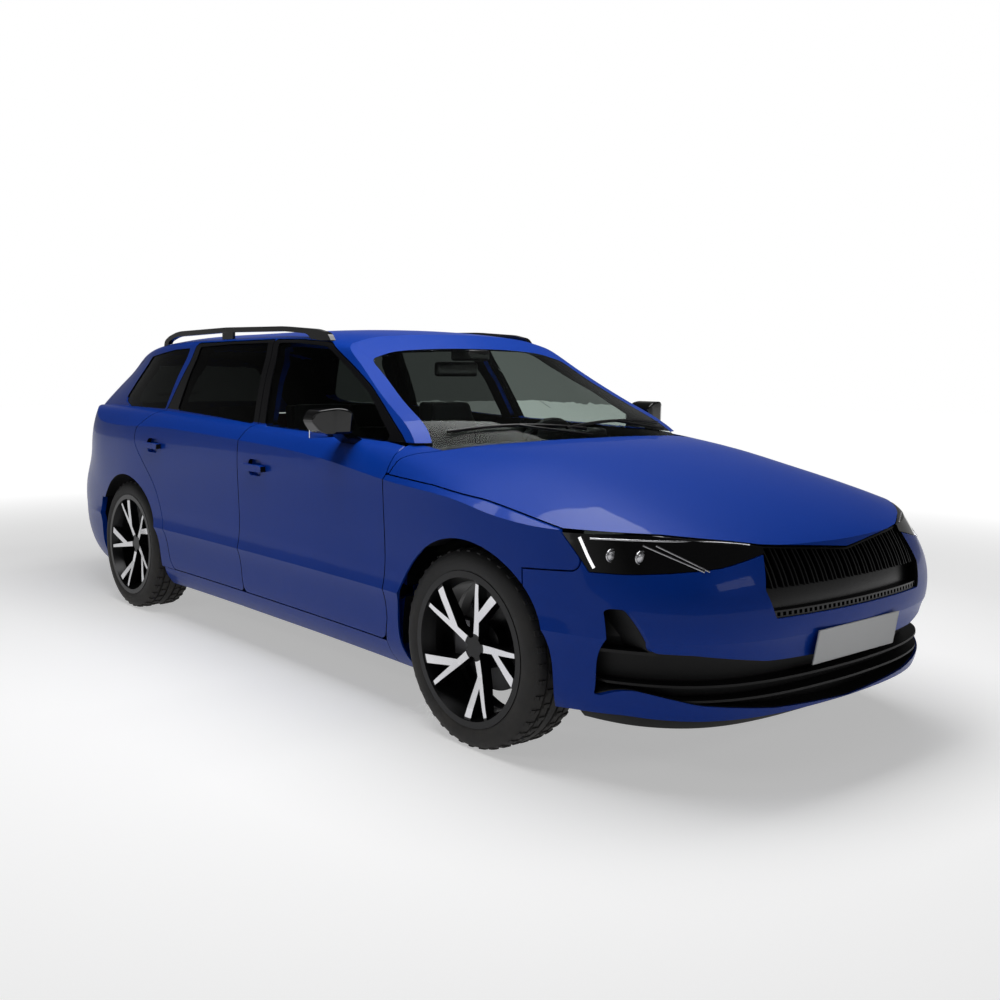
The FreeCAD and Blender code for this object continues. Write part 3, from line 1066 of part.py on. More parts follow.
def knuckle():
    """Right front upright with its stub axle, strut tube and caliper."""
    centre = wheel_centre(FRONT_AXLE)
    middle = disc_middle(centre)
    inboard = middle + DISC_THICK
    stub_end = centre.y - DISH_SHARES[0][0] * TYRE_WIDTH + 2 * RUN_GAP
    stub = rod(V(centre.x, inboard, centre.z), V(centre.x, stub_end, centre.z), STUB_RADIUS)
    carrier = rod(V(centre.x, inboard + UPRIGHT, centre.z), V(centre.x, inboard, centre.z), HUB_RADIUS * 1.4)
    foot = rod(kingpin(KINGPIN_FOOT), kingpin(KINGPIN_FOOT + UPRIGHT), STUD * 2.4)
    leg = rod(kingpin(KINGPIN_FOOT + UPRIGHT), kingpin(TYRE_RADIUS), STUD * 2)
    tube = rod(kingpin(TYRE_RADIUS + HUB_RADIUS), kingpin(SPRING_FOOT - SPRING_WIRE), STRUT_TUBE)
    neck = rod(kingpin(TYRE_RADIUS), kingpin(TYRE_RADIUS + 2 * HUB_RADIUS), STRUT_TUBE * 1.3)
    seat = rod(kingpin(SPRING_FOOT - SPRING_WIRE), kingpin(SPRING_FOOT - SEAT_GAP), SPRING_RADIUS)
    shape = joined([stub, carrier, foot, leg, tube, neck, seat, caliper(centre, 180.0)])
    bore = rod(kingpin(KINGPIN_FOOT - OVERRUN), kingpin(KINGPIN_FOOT + UPRIGHT * 0.8), STUD + PIN_GAP)
    upper = rod(kingpin(SPRING_FOOT - 5 * STRUT_ROD), kingpin(SPRING_FOOT + OVERRUN), STRUT_ROD + PIN_GAP)
    return shape.cut([bore, upper])


SPRING_FOOT = 700.0
TOWER_FOOT = STRUT_TOP + (SPRING_RADIUS + SPRING_WIRE) * math.sin(math.radians(KINGPIN_LEAN)) + SEAT_GAP


def subframe():
    """Front subframe with lower arms, ball studs, springs, strut rods and steering rack."""
    half, low = HALF_WIDTH * 0.36, KINGPIN_FOOT - 2 * ARM_THICK
    cross = block(FRONT_AXLE - half * 0.45, FRONT_AXLE + half * 0.25, -half, 0, low, low + 3 * ARM_THICK)
    arm = [(FRONT_AXLE - half * 0.4, -half + ARM_THICK, 10), (FRONT_AXLE - ARM_THICK, -KINGPIN_HALF - ARM_THICK, 15), (FRONT_AXLE + ARM_THICK, -KINGPIN_HALF - ARM_THICK, 15), (FRONT_AXLE + half * 0.2, -half + ARM_THICK, 10)]
    arm = prism([(x, y, ARM_THICK * 0.6) for x, y, r in arm], "plan", KINGPIN_FOOT - ARM_THICK * 1.3, KINGPIN_FOOT - ARM_THICK * 0.3)
    stud = rod(kingpin(KINGPIN_FOOT - ARM_THICK), kingpin(KINGPIN_FOOT + UPRIGHT * 0.7), STUD)
    rack = rod(V(FRONT_AXLE - half * 0.3, 0, low + 3 * ARM_THICK + STRUT_TUBE), V(FRONT_AXLE - half * 0.3, -half, low + 3 * ARM_THICK + STRUT_TUBE), STRUT_TUBE)
    lower = joined([cross, arm, stud, rack])
    strut = rod(kingpin(SPRING_FOOT - 4 * STRUT_ROD), kingpin(STRUT_TOP), STRUT_ROD)
    spring = rod(kingpin(SPRING_FOOT), kingpin(STRUT_TOP - SPRING_WIRE), SPRING_RADIUS, SPRING_RADIUS - SPRING_WIRE)
    plate = rod(kingpin(STRUT_TOP - SPRING_WIRE), kingpin(STRUT_TOP), SPRING_RADIUS + SPRING_WIRE)
    crown = kingpin(STRUT_TOP)
    bearing = Part.makeCylinder(SPRING_RADIUS / 2, TOWER_FOOT - SEAT_GAP - crown.z + SPRING_WIRE, V(crown.x, crown.y, crown.z - SPRING_WIRE))
    upper = joined([strut, spring, plate, bearing])
    return mirror_joined(lower), pair(upper)


def rear_axle():
    """Twist beam with trailing arms, stub axles, calipers, springs and dampers."""
    centre = wheel_centre(REAR_AXLE)
    inboard = disc_middle(centre) + DISC_THICK
    stub_end = centre.y - DISH_SHARES[0][0] * TYRE_WIDTH + 2 * RUN_GAP
    stub = rod(V(centre.x, inboard + UPRIGHT, centre.z), V(centre.x, stub_end, centre.z), STUB_RADIUS)
    carrier = rod(V(centre.x, inboard + 2 * UPRIGHT, centre.z), V(centre.x, inboard, centre.z), HUB_RADIUS * 1.2)
    front = V(station(0.16), -HALF_WIDTH * 0.66, TYRE_RADIUS * 0.85)
    back = V(centre.x, inboard + 1.5 * UPRIGHT, centre.z)
    arm = rod(front, back, UPRIGHT * 0.6)
    bush = rod(front - V(0, UPRIGHT, 0), front + V(0, UPRIGHT, 0), UPRIGHT * 0.8)
    beam_x = station(0.06)
    beam = rod(V(beam_x, 0, TYRE_RADIUS * 0.95), V(beam_x, -HALF_WIDTH * 0.68, TYRE_RADIUS * 0.95), UPRIGHT * 0.8)
    foot = V(station(0.02), -HALF_WIDTH * 0.56, TYRE_RADIUS)
    pan = rod(foot, foot + V(0, 0, SPRING_WIRE), SPRING_RADIUS)
    tie = rod(foot, V(beam_x, -HALF_WIDTH * 0.56, TYRE_RADIUS), UPRIGHT * 0.4)
    top = LOAD_FLOOR - FLOOR_THICK - SEAT_GAP
    spring = rod(foot + V(0, 0, SPRING_WIRE), V(foot.x, foot.y, top), SPRING_RADIUS, SPRING_RADIUS - SPRING_WIRE)
    damper = rod(V(station(-0.04), inboard + 2.2 * UPRIGHT, TYRE_RADIUS * 0.8), V(station(-0.16), -HALF_WIDTH * 0.66, top), STRUT_TUBE)
    pin = rod(V(station(-0.04), inboard + 2.2 * UPRIGHT, TYRE_RADIUS * 0.8), back, STRUT_TUBE)
    parts = [stub, carrier, arm, bush, beam, pan, tie, spring, damper, pin, caliper(centre, 60.0)]
    return mirror_joined(joined(parts))


FLOOR_THICK = 14.0
LOAD_FLOOR = 0.41 * HEIGHT
FLOOR_SHARES = [(0.885, 0.62), (0.893, 0.40), (0.862, 0.17), (0.25, 0.15), (0.22, 0.24), (0.10, 0.25), (0.07, 0.41), (-0.86, 0.41)]
TUNNEL_HALF = 120.0
TUNNEL_TOP = 330.0


def strip(points, thick):
    """A bent plate in side view: the line of its upper face and its thickness, mitred at the bends."""
    below = []
    for i, (x, z) in enumerate(points):
        before, after = points[max(0, i - 1)], points[min(len(points) - 1, i + 1)]
        first = V(x - before[0], z - before[1], 0)
        second = V(after[0] - x, after[1] - z, 0)
        first = second if first.Length == 0 else first
        second = first if second.Length == 0 else second
        first.normalize()
        second.normalize()
        middle = first + second
        middle.normalize()
        reach = thick / first.dot(middle)
        below.append((x - middle.y * reach, z + middle.x * reach, 0.0))
    return [(x, z, 0.0) for x, z in points] + below[::-1]


def floor_pan():
    """Bulkhead, cabin floor with tunnel, seat pan and load floor."""
    half = HALF_WIDTH * 0.60
    line = [(station(s), z * HEIGHT) for s, z in FLOOR_SHARES]
    plate = prism(strip(line, FLOOR_THICK), "side", -half, 0)
    level = FLOOR_SHARES[3][1] * HEIGHT
    side = block(station(0.24), station(0.83), -DOOR_INNER + POST_WALL + SEAT_GAP, -half, level - FLOOR_THICK, level)
    tunnel = block(station(0.245), station(0.87), -TUNNEL_HALF, 0, level, TUNNEL_TOP)
    tunnel = tunnel.cut(block(-CAR_LENGTH, CAR_LENGTH, -TUNNEL_HALF + FLOOR_THICK, 0, 0, TUNNEL_TOP - FLOOR_THICK))
    return mirror_joined(joined([plate, side, tunnel]))


def front_structure():
    """Chassis legs, strut towers, radiator and the cross rails behind the bumper."""
    leg_half = HALF_WIDTH * 0.5
    leg = block(station(0.90), station(1.83), -leg_half - 30, -leg_half + 30, 0.30 * HEIGHT, 0.36 * HEIGHT)
    top = kingpin(STRUT_TOP + SEAT_GAP)
    tower = block(FRONT_AXLE - 95, FRONT_AXLE + 95, top.y - 95, -leg_half + 30, 0.34 * HEIGHT, TOWER_FOOT + LEAF * 2)
    hollow = block(FRONT_AXLE - 85, FRONT_AXLE + 85, top.y - 200, -leg_half + 20, 0.30 * HEIGHT, TOWER_FOOT)
    tower = tower.cut([hollow, arch_bore(FRONT_AXLE, LINER_RADIUS + LINER_WALL + SEAT_GAP, LINER_IN)])
    beam = block(station(1.83), station(1.87), -leg_half - 30, 0, 0.30 * HEIGHT, 0.36 * HEIGHT)
    slam = block(station(1.70), station(1.74), -leg_half - 30, 0, 0.462 * HEIGHT, 0.478 * HEIGHT)
    upright = block(station(1.70), station(1.74), -leg_half - 30, -leg_half, 0.30 * HEIGHT, 0.478 * HEIGHT)
    radiator = block(station(1.68), station(1.71), -HALF_WIDTH * 0.4, 0, 0.17 * HEIGHT, 0.46 * HEIGHT)
    stay = block(station(1.70), station(1.74), -HALF_WIDTH * 0.42, 0, 0.44 * HEIGHT, 0.47 * HEIGHT)
    mount = block(station(1.16), station(1.24), -leg_half + 20, -ENGINE_HALF - SEAT_GAP, 0.30 * HEIGHT, 0.34 * HEIGHT)
    return mirror_joined(joined([leg, tower, beam, slam, upright, radiator, stay, mount]))


def cowl():
    """Panel between bonnet and windscreen, on the upper bulkhead."""
    side, front, plan = bonnet_space(SHUT_GAP / 2)
    skin = HULL.low(LIP).cut(HULL.low(LIP + PANEL))
    skin = skin.common(block(station(0.80), station(0.92), -DOOR_INNER + POST_WALL, 0, 0, HEIGHT)).cut([plan, HULL.cabin()])
    wall = block(station(0.855), station(0.862), -DOOR_INNER + POST_WALL + SEAT_GAP, 0, 0.50 * HEIGHT, BELT).common(HULL.low(LIP * 2))
    deck = block(station(0.85), station(0.90), -DOOR_INNER + POST_WALL + SEAT_GAP, 0, 0.625 * HEIGHT, 0.635 * HEIGHT)
    deck = deck.common(HULL.low(LIP * 2))
    glass_room = HULL.cabin().copy()
    glass_room.translate(V(SHUT_GAP, 0, 0))
    return mirror_joined(joined([skin, wall, deck]).cut([HULL.cabin(), glass_room]))


def seat(back_station, front_station, pan, half, offset, height):
    """Cushion, back and headrest of a seat as plain soft volumes."""
    cushion = [(back_station, pan, 0.02), (front_station, pan + 0.005, 0.03), (front_station + 0.003, pan + 0.095, 0.03), (back_station + 0.02, pan + 0.075, 0.02)]
    back = [(back_station, pan + 0.0755, 0.005), (back_station + 0.04, pan + 0.079, 0.005), (back_station - 0.015, height, 0.03), (back_station - 0.055, height, 0.03)]
    parts = []
    for outline in (cushion, back):
        parts.append(prism(side_shares(outline), "side", offset - half, offset + half))
    head = [(back_station - 0.022, height + 0.006, 0.02), (back_station - 0.06, height + 0.006, 0.02), (back_station - 0.07, height + 0.085, 0.02), (back_station - 0.035, height + 0.09, 0.02)]
    return parts, head


SEAT_OFFSET = -0.405 * HALF_WIDTH
SEAT_HALF = 0.273 * HALF_WIDTH
HEADREST_HALF = 0.14 * HALF_WIDTH
BENCH_HALF = 0.7 * HALF_WIDTH


def seat_base(x0, x1, half, offset, top):
    """The plinth of a seat on the floor."""
    line = [(station(s), z * HEIGHT + SEAT_GAP) for s, z in FLOOR_SHARES]
    under = prism(strip(line, FLOOR_THICK * 2), "side", offset - half, offset + half)
    low = FLOOR_SHARES[3][1] * HEIGHT + SEAT_GAP
    tunnel_half = TUNNEL_HALF + SEAT_GAP
    tunnel = block(x0, x1, -tunnel_half, tunnel_half, 0, TUNNEL_TOP + SEAT_GAP)
    return block(x0, x1, offset - half, offset + half, low, top).cut([under, tunnel])


def front_seats():
    """Two front seats, each a cushion on its plinth, a back and a headrest."""
    parts, head = seat(0.43, 0.60, 0.235, SEAT_HALF, SEAT_OFFSET, 0.66)
    head = [(s, z - 0.006, r) for s, z, r in head]
    parts.append(prism(side_shares(head), "side", SEAT_OFFSET - HEADREST_HALF, SEAT_OFFSET + HEADREST_HALF))
    parts.append(seat_base(station(0.44), station(0.58), SEAT_HALF * 0.8, SEAT_OFFSET, 0.24 * HEIGHT))
    return pair(joined(parts))


def rear_bench():
    """The rear bench with its one back and three headrests."""
    parts, head = seat(0.18, 0.335, 0.255, BENCH_HALF, 0.0, 0.64)
    head = [(s, z - 0.006, r) for s, z, r in head]
    for y in (-0.44 * HALF_WIDTH, 0, 0.44 * HALF_WIDTH):
        parts.append(prism(side_shares(head), "side", y - HEADREST_HALF, y + HEADREST_HALF))
    parts.append(seat_base(station(0.26), station(0.32), BENCH_HALF * 0.8, 0.0, 0.27 * HEIGHT))
    return joined(parts)


def dashboard():
    outline = [(0.70, 0.43, 0.02), (0.685, 0.60, 0.02), (0.72, 0.645, 0.03), (0.845, 0.648, 0.01), (0.85, 0.50, 0.02), (0.80, 0.42, 0.02)]
    face = prism(side_shares(outline), "side", -DOOR_INNER + POST_WALL + SHUT_GAP, 0)
    face = mirror_joined(face)
    console = block(station(0.50), station(0.76), -TUNNEL_HALF * 0.9, TUNNEL_HALF * 0.9, TUNNEL_TOP + SEAT_GAP, 0.44 * HEIGHT)
    column = rod(wheel_hub(WHEEL_REACH), wheel_hub(WHEEL_REACH * 4), STRUT_TUBE * 1.4)
    spindle = rod(wheel_hub(PIN), wheel_hub(WHEEL_REACH * 2), STUD)
    return joined([face, console, column, spindle])


WHEEL_REACH = 40.0
GRIP_RADIUS = 180.0
GRIP = 14.0
COLUMN_LEAN = 25.0


def wheel_hub(along):
    """A point of the steering column, forward of the steering wheel's middle."""
    lean = math.radians(COLUMN_LEAN)
    return V(station(0.655) + along * math.cos(lean), 370.0, 0.585 * HEIGHT - along * math.sin(lean))


def steering_wheel():
    ring = Part.makeTorus(GRIP_RADIUS, GRIP, wheel_hub(0), wheel_hub(0) - wheel_hub(-100))
    hub = rod(wheel_hub(-GRIP * 1.5), wheel_hub(WHEEL_REACH - SEAT_GAP), HUB_RADIUS)
    parts = [ring, hub]
    for angle in (0, 120, 240):
        arm = rod(V(0, 0, 0), V(0, 0, -GRIP_RADIUS), GRIP * 0.8)
        arm.rotate(V(), V(1, 0, 0), angle)
        arm.rotate(V(), V(0, 1, 0), COLUMN_LEAN)
        arm.translate(wheel_hub(0))
        parts.append(arm)
    return joined(parts).cut(rod(wheel_hub(PIN - RUN_GAP), wheel_hub(WHEEL_REACH * 2), STUD + RUN_GAP))


# Rail in side view: its top and its underside, from the front foot to the rear foot
RAIL_TOP_SHARES = [
    (0.545, 0.94, 0.0), (0.535, 0.962, 0.05), (0.50, 0.975, 0.2), (0.40, 0.988, 0.5), (0.2, 0.994, 0.8), (0.0, 0.989, 0.6),
    (-0.10, 0.972, 0.2), (-0.145, 0.955, 0.05), (-0.15, 0.93, 0.0),
]
RAIL_UNDER_SHARES = [
    (-0.11, 0.93, 0.0), (-0.10, 0.953, 0.02), (-0.02, 0.970, 0.3), (0.2, 0.977, 0.8), (0.40, 0.972, 0.5), (0.475, 0.962, 0.1), (0.49, 0.94, 0.0),
]
RAIL_WIDTH = 26.0
RAIL_FEET_SHARES = (0.20,)


def roof_rails():
    """Slim rails on feet at their ends and middle."""
    y = -ROOF_HALF - PANEL
    bar = prism(side_shares(RAIL_TOP_SHARES + RAIL_UNDER_SHARES), "side", y - RAIL_WIDTH, y)
    feet = [
        block(station(s - 0.02), station(s + 0.02), y - RAIL_WIDTH + LIP, y - LIP, 0.92 * HEIGHT, 0.98 * HEIGHT)
        for s in RAIL_FEET_SHARES
    ]
    seat_room = HULL.cabin().copy()
    seat_room.translate(V(0, 0, 2 * SEAT_GAP))
    return pair(bar.fuse(feet).cut(seat_room))


MIRROR_SHARES = [
    (-1.098, 0.722, 0.015), (-1.08, 0.748, 0.03), (-1.0, 0.757, 0.1), (-0.935, 0.748, 0.03), (-0.915, 0.715, 0.02),
    (-0.935, 0.688, 0.02), (-1.06, 0.688, 0.03),
]
MIRROR_PLAN_SHARES = [
    (0.745, -0.93, 0.04), (0.742, -1.02, 0.04), (0.722, -1.10, 0.03), (0.70, -1.10, 0.003), (0.698, -0.91, 0.003), (0.73, -0.91, 0.02),
]


def mirror():
    """Door mirror: a rounded shell with the room of its glass, on a flat stalk."""
    shell = prism(front_shares(MIRROR_SHARES), "front", station(0.66), station(0.78))
    shell = shell.common(prism(plan_shares(MIRROR_PLAN_SHARES), "plan", 0.6 * HEIGHT, 0.8 * HEIGHT))
    shell = shell.makeFillet(MIRROR_EDGE, [e for e in shell.Edges if e.CenterOfMass.x > station(0.705)])
    pocket = prism(front_shares(MIRROR_SHARES), "front", station(0.69), station(0.702), -MIRROR_EDGE * 0.8)
    stalk = [(-0.99, 0.695, 0.005), (-0.945, 0.695, 0.005), (-0.85, 0.665, 0.0), (-0.85, 0.645, 0.0), (-0.90, 0.655, 0.01)]
    stalk = prism(front_shares(stalk), "front", station(0.703), station(0.735)).cut(HULL.whole())
    return solids_of(shell.cut(pocket).fuse(stalk))


MIRROR_EDGE = 9.0


ENGINE_HALF = 355.0


def engine():
    """Engine and gearbox as one plain block on the legs' mounts."""
    return block(station(0.96), station(1.55), -ENGINE_HALF, ENGINE_HALF, 0.235 * HEIGHT, 0.54 * HEIGHT)


def exhaust():
    """Exhaust pipe under the tunnel and the rear silencer with its tail pipe."""
    pipe = []
    radius = 0.0192 * HEIGHT
    level = 0.117 * HEIGHT
    route = [V(station(0.93), 0, level), V(station(-0.10), 0, level), V(station(-0.22), 0, level * 1.5), V(station(-0.35), 0, level * 1.6)]
    for a, b in zip(route, route[1:]):
        pipe.append(rod(a, b, radius))
        pipe.append(Part.makeSphere(radius, b))
    box = block(station(-0.62), station(-0.33), -HALF_WIDTH * 0.4, HALF_WIDTH * 0.4, 0.14 * HEIGHT, 0.24 * HEIGHT)
    tail = rod(V(station(-0.60), -HALF_WIDTH * 0.3, 0.18 * HEIGHT), V(station(-0.88), -HALF_WIDTH * 0.3, 0.18 * HEIGHT), radius)
    return joined([box, tail] + pipe)


def write(name, shape):
    shape.exportStep("parts/" + name + ".step")


def main():
    os.makedirs("parts", exist_ok=True)
    front_pin_x, rear_pin_x = station(0.838) + HINGE_AHEAD, station(0.433) + HINGE_AHEAD
    pin_y = -(0.973 * HALF_WIDTH - HINGE_IN)
    heights = (0.312 * HEIGHT, 0.505 * HEIGHT)
    pocket = block(station(0.3), rear_pin_x + LIP_REACH, -HALF_WIDTH * 2, -DOOR_INNER + HINGE_IN, 0, BELT - 2 * JAMB)
    front_door, front_pins = door(FRONT_DOOR_SHARES, FRONT_WINDOW_SHARES, front_pin_x, pin_y, heights, pocket, FRONT_HANDLE_SHARES)
    rear_door, rear_pins = door(REAR_DOOR_SHARES, REAR_WINDOW_SHARES, rear_pin_x, pin_y, heights, None, REAR_HANDLE_SHARES)
    side = body_side(front_pins, rear_pins, front_pin_x, rear_pin_x, pin_y, heights)
    bonnet_side, bonnet_front, bonnet_plan = bonnet_space(-SHUT_GAP / 2)
    lid = mirror_joined(HULL.low().cut(HULL.low(LID_DEPTH)))
    lid = lid.common(bonnet_side.fuse(bonnet_front).common(bonnet_plan))
    strap = bonnet_strap()[0]
    lid = lid.fuse([strap, left_of(strap)])
    gate, gate_pane, gate_lamps = tailgate()
    knuckle_right = knuckle()
    lower_subframe, struts = subframe()
    sides = {
        "door_front": front_door,
        "door_rear": rear_door,
        "glass_front": glass(FRONT_WINDOW_SHARES),
        "glass_rear": glass(REAR_WINDOW_SHARES),
        "body_side": side,
        "knuckle": knuckle_right,
        "mirror": mirror(),
    }
    for name, shape in sides.items():
        shape = solids_of(shape)
        write(name + "_right", shape)
        write(name + "_left", left_of(shape))
    for name, axle, turn in (("front", FRONT_AXLE, FRONT_SPOKE_TURN), ("rear", REAR_AXLE, REAR_SPOKE_TURN)):
        centre = wheel_centre(axle)
        for part, shape in (("tyre", tyre(centre)), ("rim", rim(centre, turn))):
            write(part + "_" + name + "_right", shape)
            far = shape.copy()
            far.rotate(V(axle, 0, 0), V(0, 0, 1), 180)
            write(part + "_" + name + "_left", far)
    pieces = {
        "bonnet": lid,
        "tailgate": gate,
        "tailgate_glass": gate_pane,
        "tailgate_lamps": gate_lamps,
        "roof": roof_panel(),
        "windscreen": windscreen(),
        "quarter_glasses": pair(glass(QUARTER_WINDOW_SHARES)),
        "front_wings": pair(front_wing()),
        "front_bumper": front_bumper(),
        "headlamps": pair(headlamp()),
        "front_grille": grille(),
        "lower_grille": lower_grille(),
        "front_undertray": undertray(),
        "rear_bumper": rear_bumper(),
        "tail_lamps": pair(tail_lamp()),
        "cowl": cowl(),
        "front_structure": front_structure(),
        "floor_pan": floor_pan(),
        "front_subframe": lower_subframe,
        "struts": struts,
        "rear_axle": rear_axle(),
        "front_seats": front_seats(),
        "rear_bench": rear_bench(),
        "dashboard": dashboard(),
        "steering_wheel": steering_wheel(),
        "roof_rails": roof_rails(),
        "engine": engine(),
        "exhaust": exhaust(),
    }
    for name, shape in pieces.items():
        write(name, solids_of(shape))


main()
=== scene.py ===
# %% [markdown]
# # A station wagon, dressed for its picture
# The car comes from CAD with every panel, hinge and wheel at its real size. This lesson adds what
# CAD leaves plain: paint, glass, lamps, tread, trim and upholstery. Each piece is modelled where it
# sits on the car, in metres, with +X forward, +Y to the car's left and +Z up.

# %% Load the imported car
import bpy
import json
import math
from mathutils import Matrix, Vector
from mathutils.bvhtree import BVHTree


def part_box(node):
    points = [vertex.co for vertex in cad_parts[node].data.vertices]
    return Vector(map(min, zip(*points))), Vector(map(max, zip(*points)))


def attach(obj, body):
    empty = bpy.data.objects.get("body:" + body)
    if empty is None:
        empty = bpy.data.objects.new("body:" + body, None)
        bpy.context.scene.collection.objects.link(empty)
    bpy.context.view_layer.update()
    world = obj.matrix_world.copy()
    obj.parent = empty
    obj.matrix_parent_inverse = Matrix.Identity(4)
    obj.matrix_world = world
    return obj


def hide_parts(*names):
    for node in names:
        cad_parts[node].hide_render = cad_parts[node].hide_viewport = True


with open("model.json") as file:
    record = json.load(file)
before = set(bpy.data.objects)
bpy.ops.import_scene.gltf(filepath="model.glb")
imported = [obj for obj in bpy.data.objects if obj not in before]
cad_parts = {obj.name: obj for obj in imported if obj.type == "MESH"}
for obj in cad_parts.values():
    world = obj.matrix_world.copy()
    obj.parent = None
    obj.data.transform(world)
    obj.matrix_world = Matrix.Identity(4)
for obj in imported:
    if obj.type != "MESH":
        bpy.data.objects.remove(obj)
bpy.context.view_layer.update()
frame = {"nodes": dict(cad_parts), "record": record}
nodes = frame["nodes"]
scene = bpy.context.scene

# %% [markdown]
# ## Camera
# The picture was taken from ahead of the car's right corner at about head height. The place and the
# angles are named, and the picture's off-centre middle becomes the lens shift.

# %% Place the camera
CAMERA_PLACE = Vector((4.175, -3.2232, 1.2466))
CAMERA_YAW = math.radians(142.409)
CAMERA_PITCH = math.radians(-2.911)
CAMERA_ROLL = math.radians(0.319)
CAMERA_LENS = 39.55
CAMERA_SHIFT = (0.0955, -0.0747)

ahead = Vector((
    math.cos(CAMERA_PITCH) * math.cos(CAMERA_YAW),
    math.cos(CAMERA_PITCH) * math.sin(CAMERA_YAW),
    math.sin(CAMERA_PITCH),
))
level = ahead.cross(Vector((0, 0, 1))).normalized()
upright = level.cross(ahead)
right = math.cos(CAMERA_ROLL) * level + math.sin(CAMERA_ROLL) * upright
up = right.cross(ahead)
camera_data = bpy.data.cameras.new("camera")
camera_data.sensor_width = 36
camera_data.lens = CAMERA_LENS
camera_data.shift_x, camera_data.shift_y = CAMERA_SHIFT
camera = bpy.data.objects.new("camera", camera_data)
scene.collection.objects.link(camera)
turn = Matrix((right, up, -ahead)).transposed().to_4x4()
camera.matrix_world = Matrix.Translation(CAMERA_PLACE) @ turn
scene.camera = camera
print("camera", tuple(round(c, 3) for c in CAMERA_PLACE))

# %% [markdown]
# ## Light
# The world lights the car only faintly. The camera and the glass see it as white. The gloss sees a dark
# ceiling over a grey band at the horizon, as in a hall.

# %% Paint the surroundings
scene.view_settings.view_transform = "Standard"
FILL = 0.05
WHITE = 1.0
HORIZON = 0.3
CEILING = 0.06
BAND_RISE = (0.05, 0.45)


def seen_rays(tree):
    """One where the camera, a reflection or glass looks at the background."""
    path = tree.nodes.new("ShaderNodeLightPath")
    total = None
    for ray in ("Is Camera Ray", "Is Glossy Ray", "Is Transmission Ray"):
        if total is None:
            total = path.outputs[ray]
            continue
        add = tree.nodes.new("ShaderNodeMath")
        add.operation = "MAXIMUM"
        tree.links.new(total, add.inputs[0])
        tree.links.new(path.outputs[ray], add.inputs[1])
        total = add.outputs[0]
    return total


world = bpy.data.worlds.new("studio")
scene.world = world
world.use_nodes = True
air = world.node_tree
back = air.nodes["Background"]
back.inputs["Color"].default_value = (1, 1, 1, 1)
strength = air.nodes.new("ShaderNodeMapRange")
strength.inputs["To Min"].default_value = FILL
strength.inputs["To Max"].default_value = WHITE
air.links.new(seen_rays(air), strength.inputs["Value"])

sky = air.nodes.new("ShaderNodeTexCoord")
rise = air.nodes.new("ShaderNodeSeparateXYZ")
air.links.new(sky.outputs["Generated"], rise.inputs[0])
ceiling = air.nodes.new("ShaderNodeMapRange")
ceiling.inputs["From Min"].default_value, ceiling.inputs["From Max"].default_value = BAND_RISE
ceiling.inputs["To Min"].default_value = HORIZON
ceiling.inputs["To Max"].default_value = CEILING
air.links.new(rise.outputs["Z"], ceiling.inputs["Value"])
gloss_look = air.nodes.new("ShaderNodeLightPath")
shade_mix = air.nodes.new("ShaderNodeMix")
air.links.new(gloss_look.outputs["Is Glossy Ray"], shade_mix.inputs["Factor"])
shade_mix.inputs["A"].default_value = 1.0
air.links.new(ceiling.outputs["Result"], shade_mix.inputs["B"])
dimmed = air.nodes.new("ShaderNodeMath")
dimmed.operation = "MULTIPLY"
air.links.new(strength.outputs["Result"], dimmed.inputs[0])
air.links.new(shade_mix.outputs["Result"], dimmed.inputs[1])
air.links.new(dimmed.outputs[0], back.inputs["Strength"])
print("world seen", WHITE, "fill", FILL)

# %% [markdown]
# A large soft lamp above the car gives most of the light. Two weak strips beside and ahead of it give the
# paint an edge.

# %% Hang the lamps


def soft_lamp(name, place, aim, size, watts):
    """A rectangular lamp that looks at a point."""
    data = bpy.data.lights.new(name, "AREA")
    data.shape = "RECTANGLE"
    data.size, data.size_y = size
    data.energy = watts
    lamp = bpy.data.objects.new(name, data)
    lamp.location = place
    lamp.rotation_euler = (Vector(aim) - Vector(place)).to_track_quat("-Z", "Y").to_euler()
    scene.collection.objects.link(lamp)


LAMPS = (
    ("lamp_top", (0.5, 0.0, 4.6), (0.3, 0, 0), (5.0, 2.6), 210),
    ("lamp_side", (1.0, -5.5, 3.2), (0, -0.5, 0.7), (4.0, 0.6), 16),
    ("lamp_front", (6.2, 0.6, 2.6), (1.6, 0, 0.6), (2.0, 0.6), 12),
)
for name, place, aim, size, watts in LAMPS:
    soft_lamp(name, place, aim, size, watts)
print("lamps", [row[0] for row in LAMPS])

# %% [markdown]
# ## Finishes
# Every finish is a Principled shader. Effects that several finishes share, such as fine grain, dust and
# metal flake, are node groups: built once, and set in each finish by their own numbers.

# %% Build the shared effects


def new_group(name, inputs, outputs):
    """A shader node group with named sockets, and its two end nodes."""
    group = bpy.data.node_groups.new(name, "ShaderNodeTree")
    for label, kind, value in inputs:
        socket = group.interface.new_socket(label, in_out="INPUT", socket_type=kind)
        if value is not None:
            socket.default_value = value
    for label, kind in outputs:
        group.interface.new_socket(label, in_out="OUTPUT", socket_type=kind)
    return group, group.nodes.new("NodeGroupInput"), group.nodes.new("NodeGroupOutput")


def texture(tree, kind, scale, vector, detail=2.0):
    """A procedural texture node fed by a coordinate."""
    node = tree.nodes.new(kind)
    tree.links.new(vector, node.inputs["Vector"])
    if isinstance(scale, (int, float)):
        node.inputs["Scale"].default_value = scale
    else:
        tree.links.new(scale, node.inputs["Scale"])
    if "Detail" in node.inputs:
        node.inputs["Detail"].default_value = detail
    return node


def maths(tree, operation, first, second):
    """One step of arithmetic between sockets or numbers."""
    node = tree.nodes.new("ShaderNodeMath")
    node.operation = operation
    for socket, value in zip(node.inputs, (first, second)):
        if isinstance(value, (int, float)):
            socket.default_value = value
        else:
            tree.links.new(value, socket)
    return node.outputs[0]


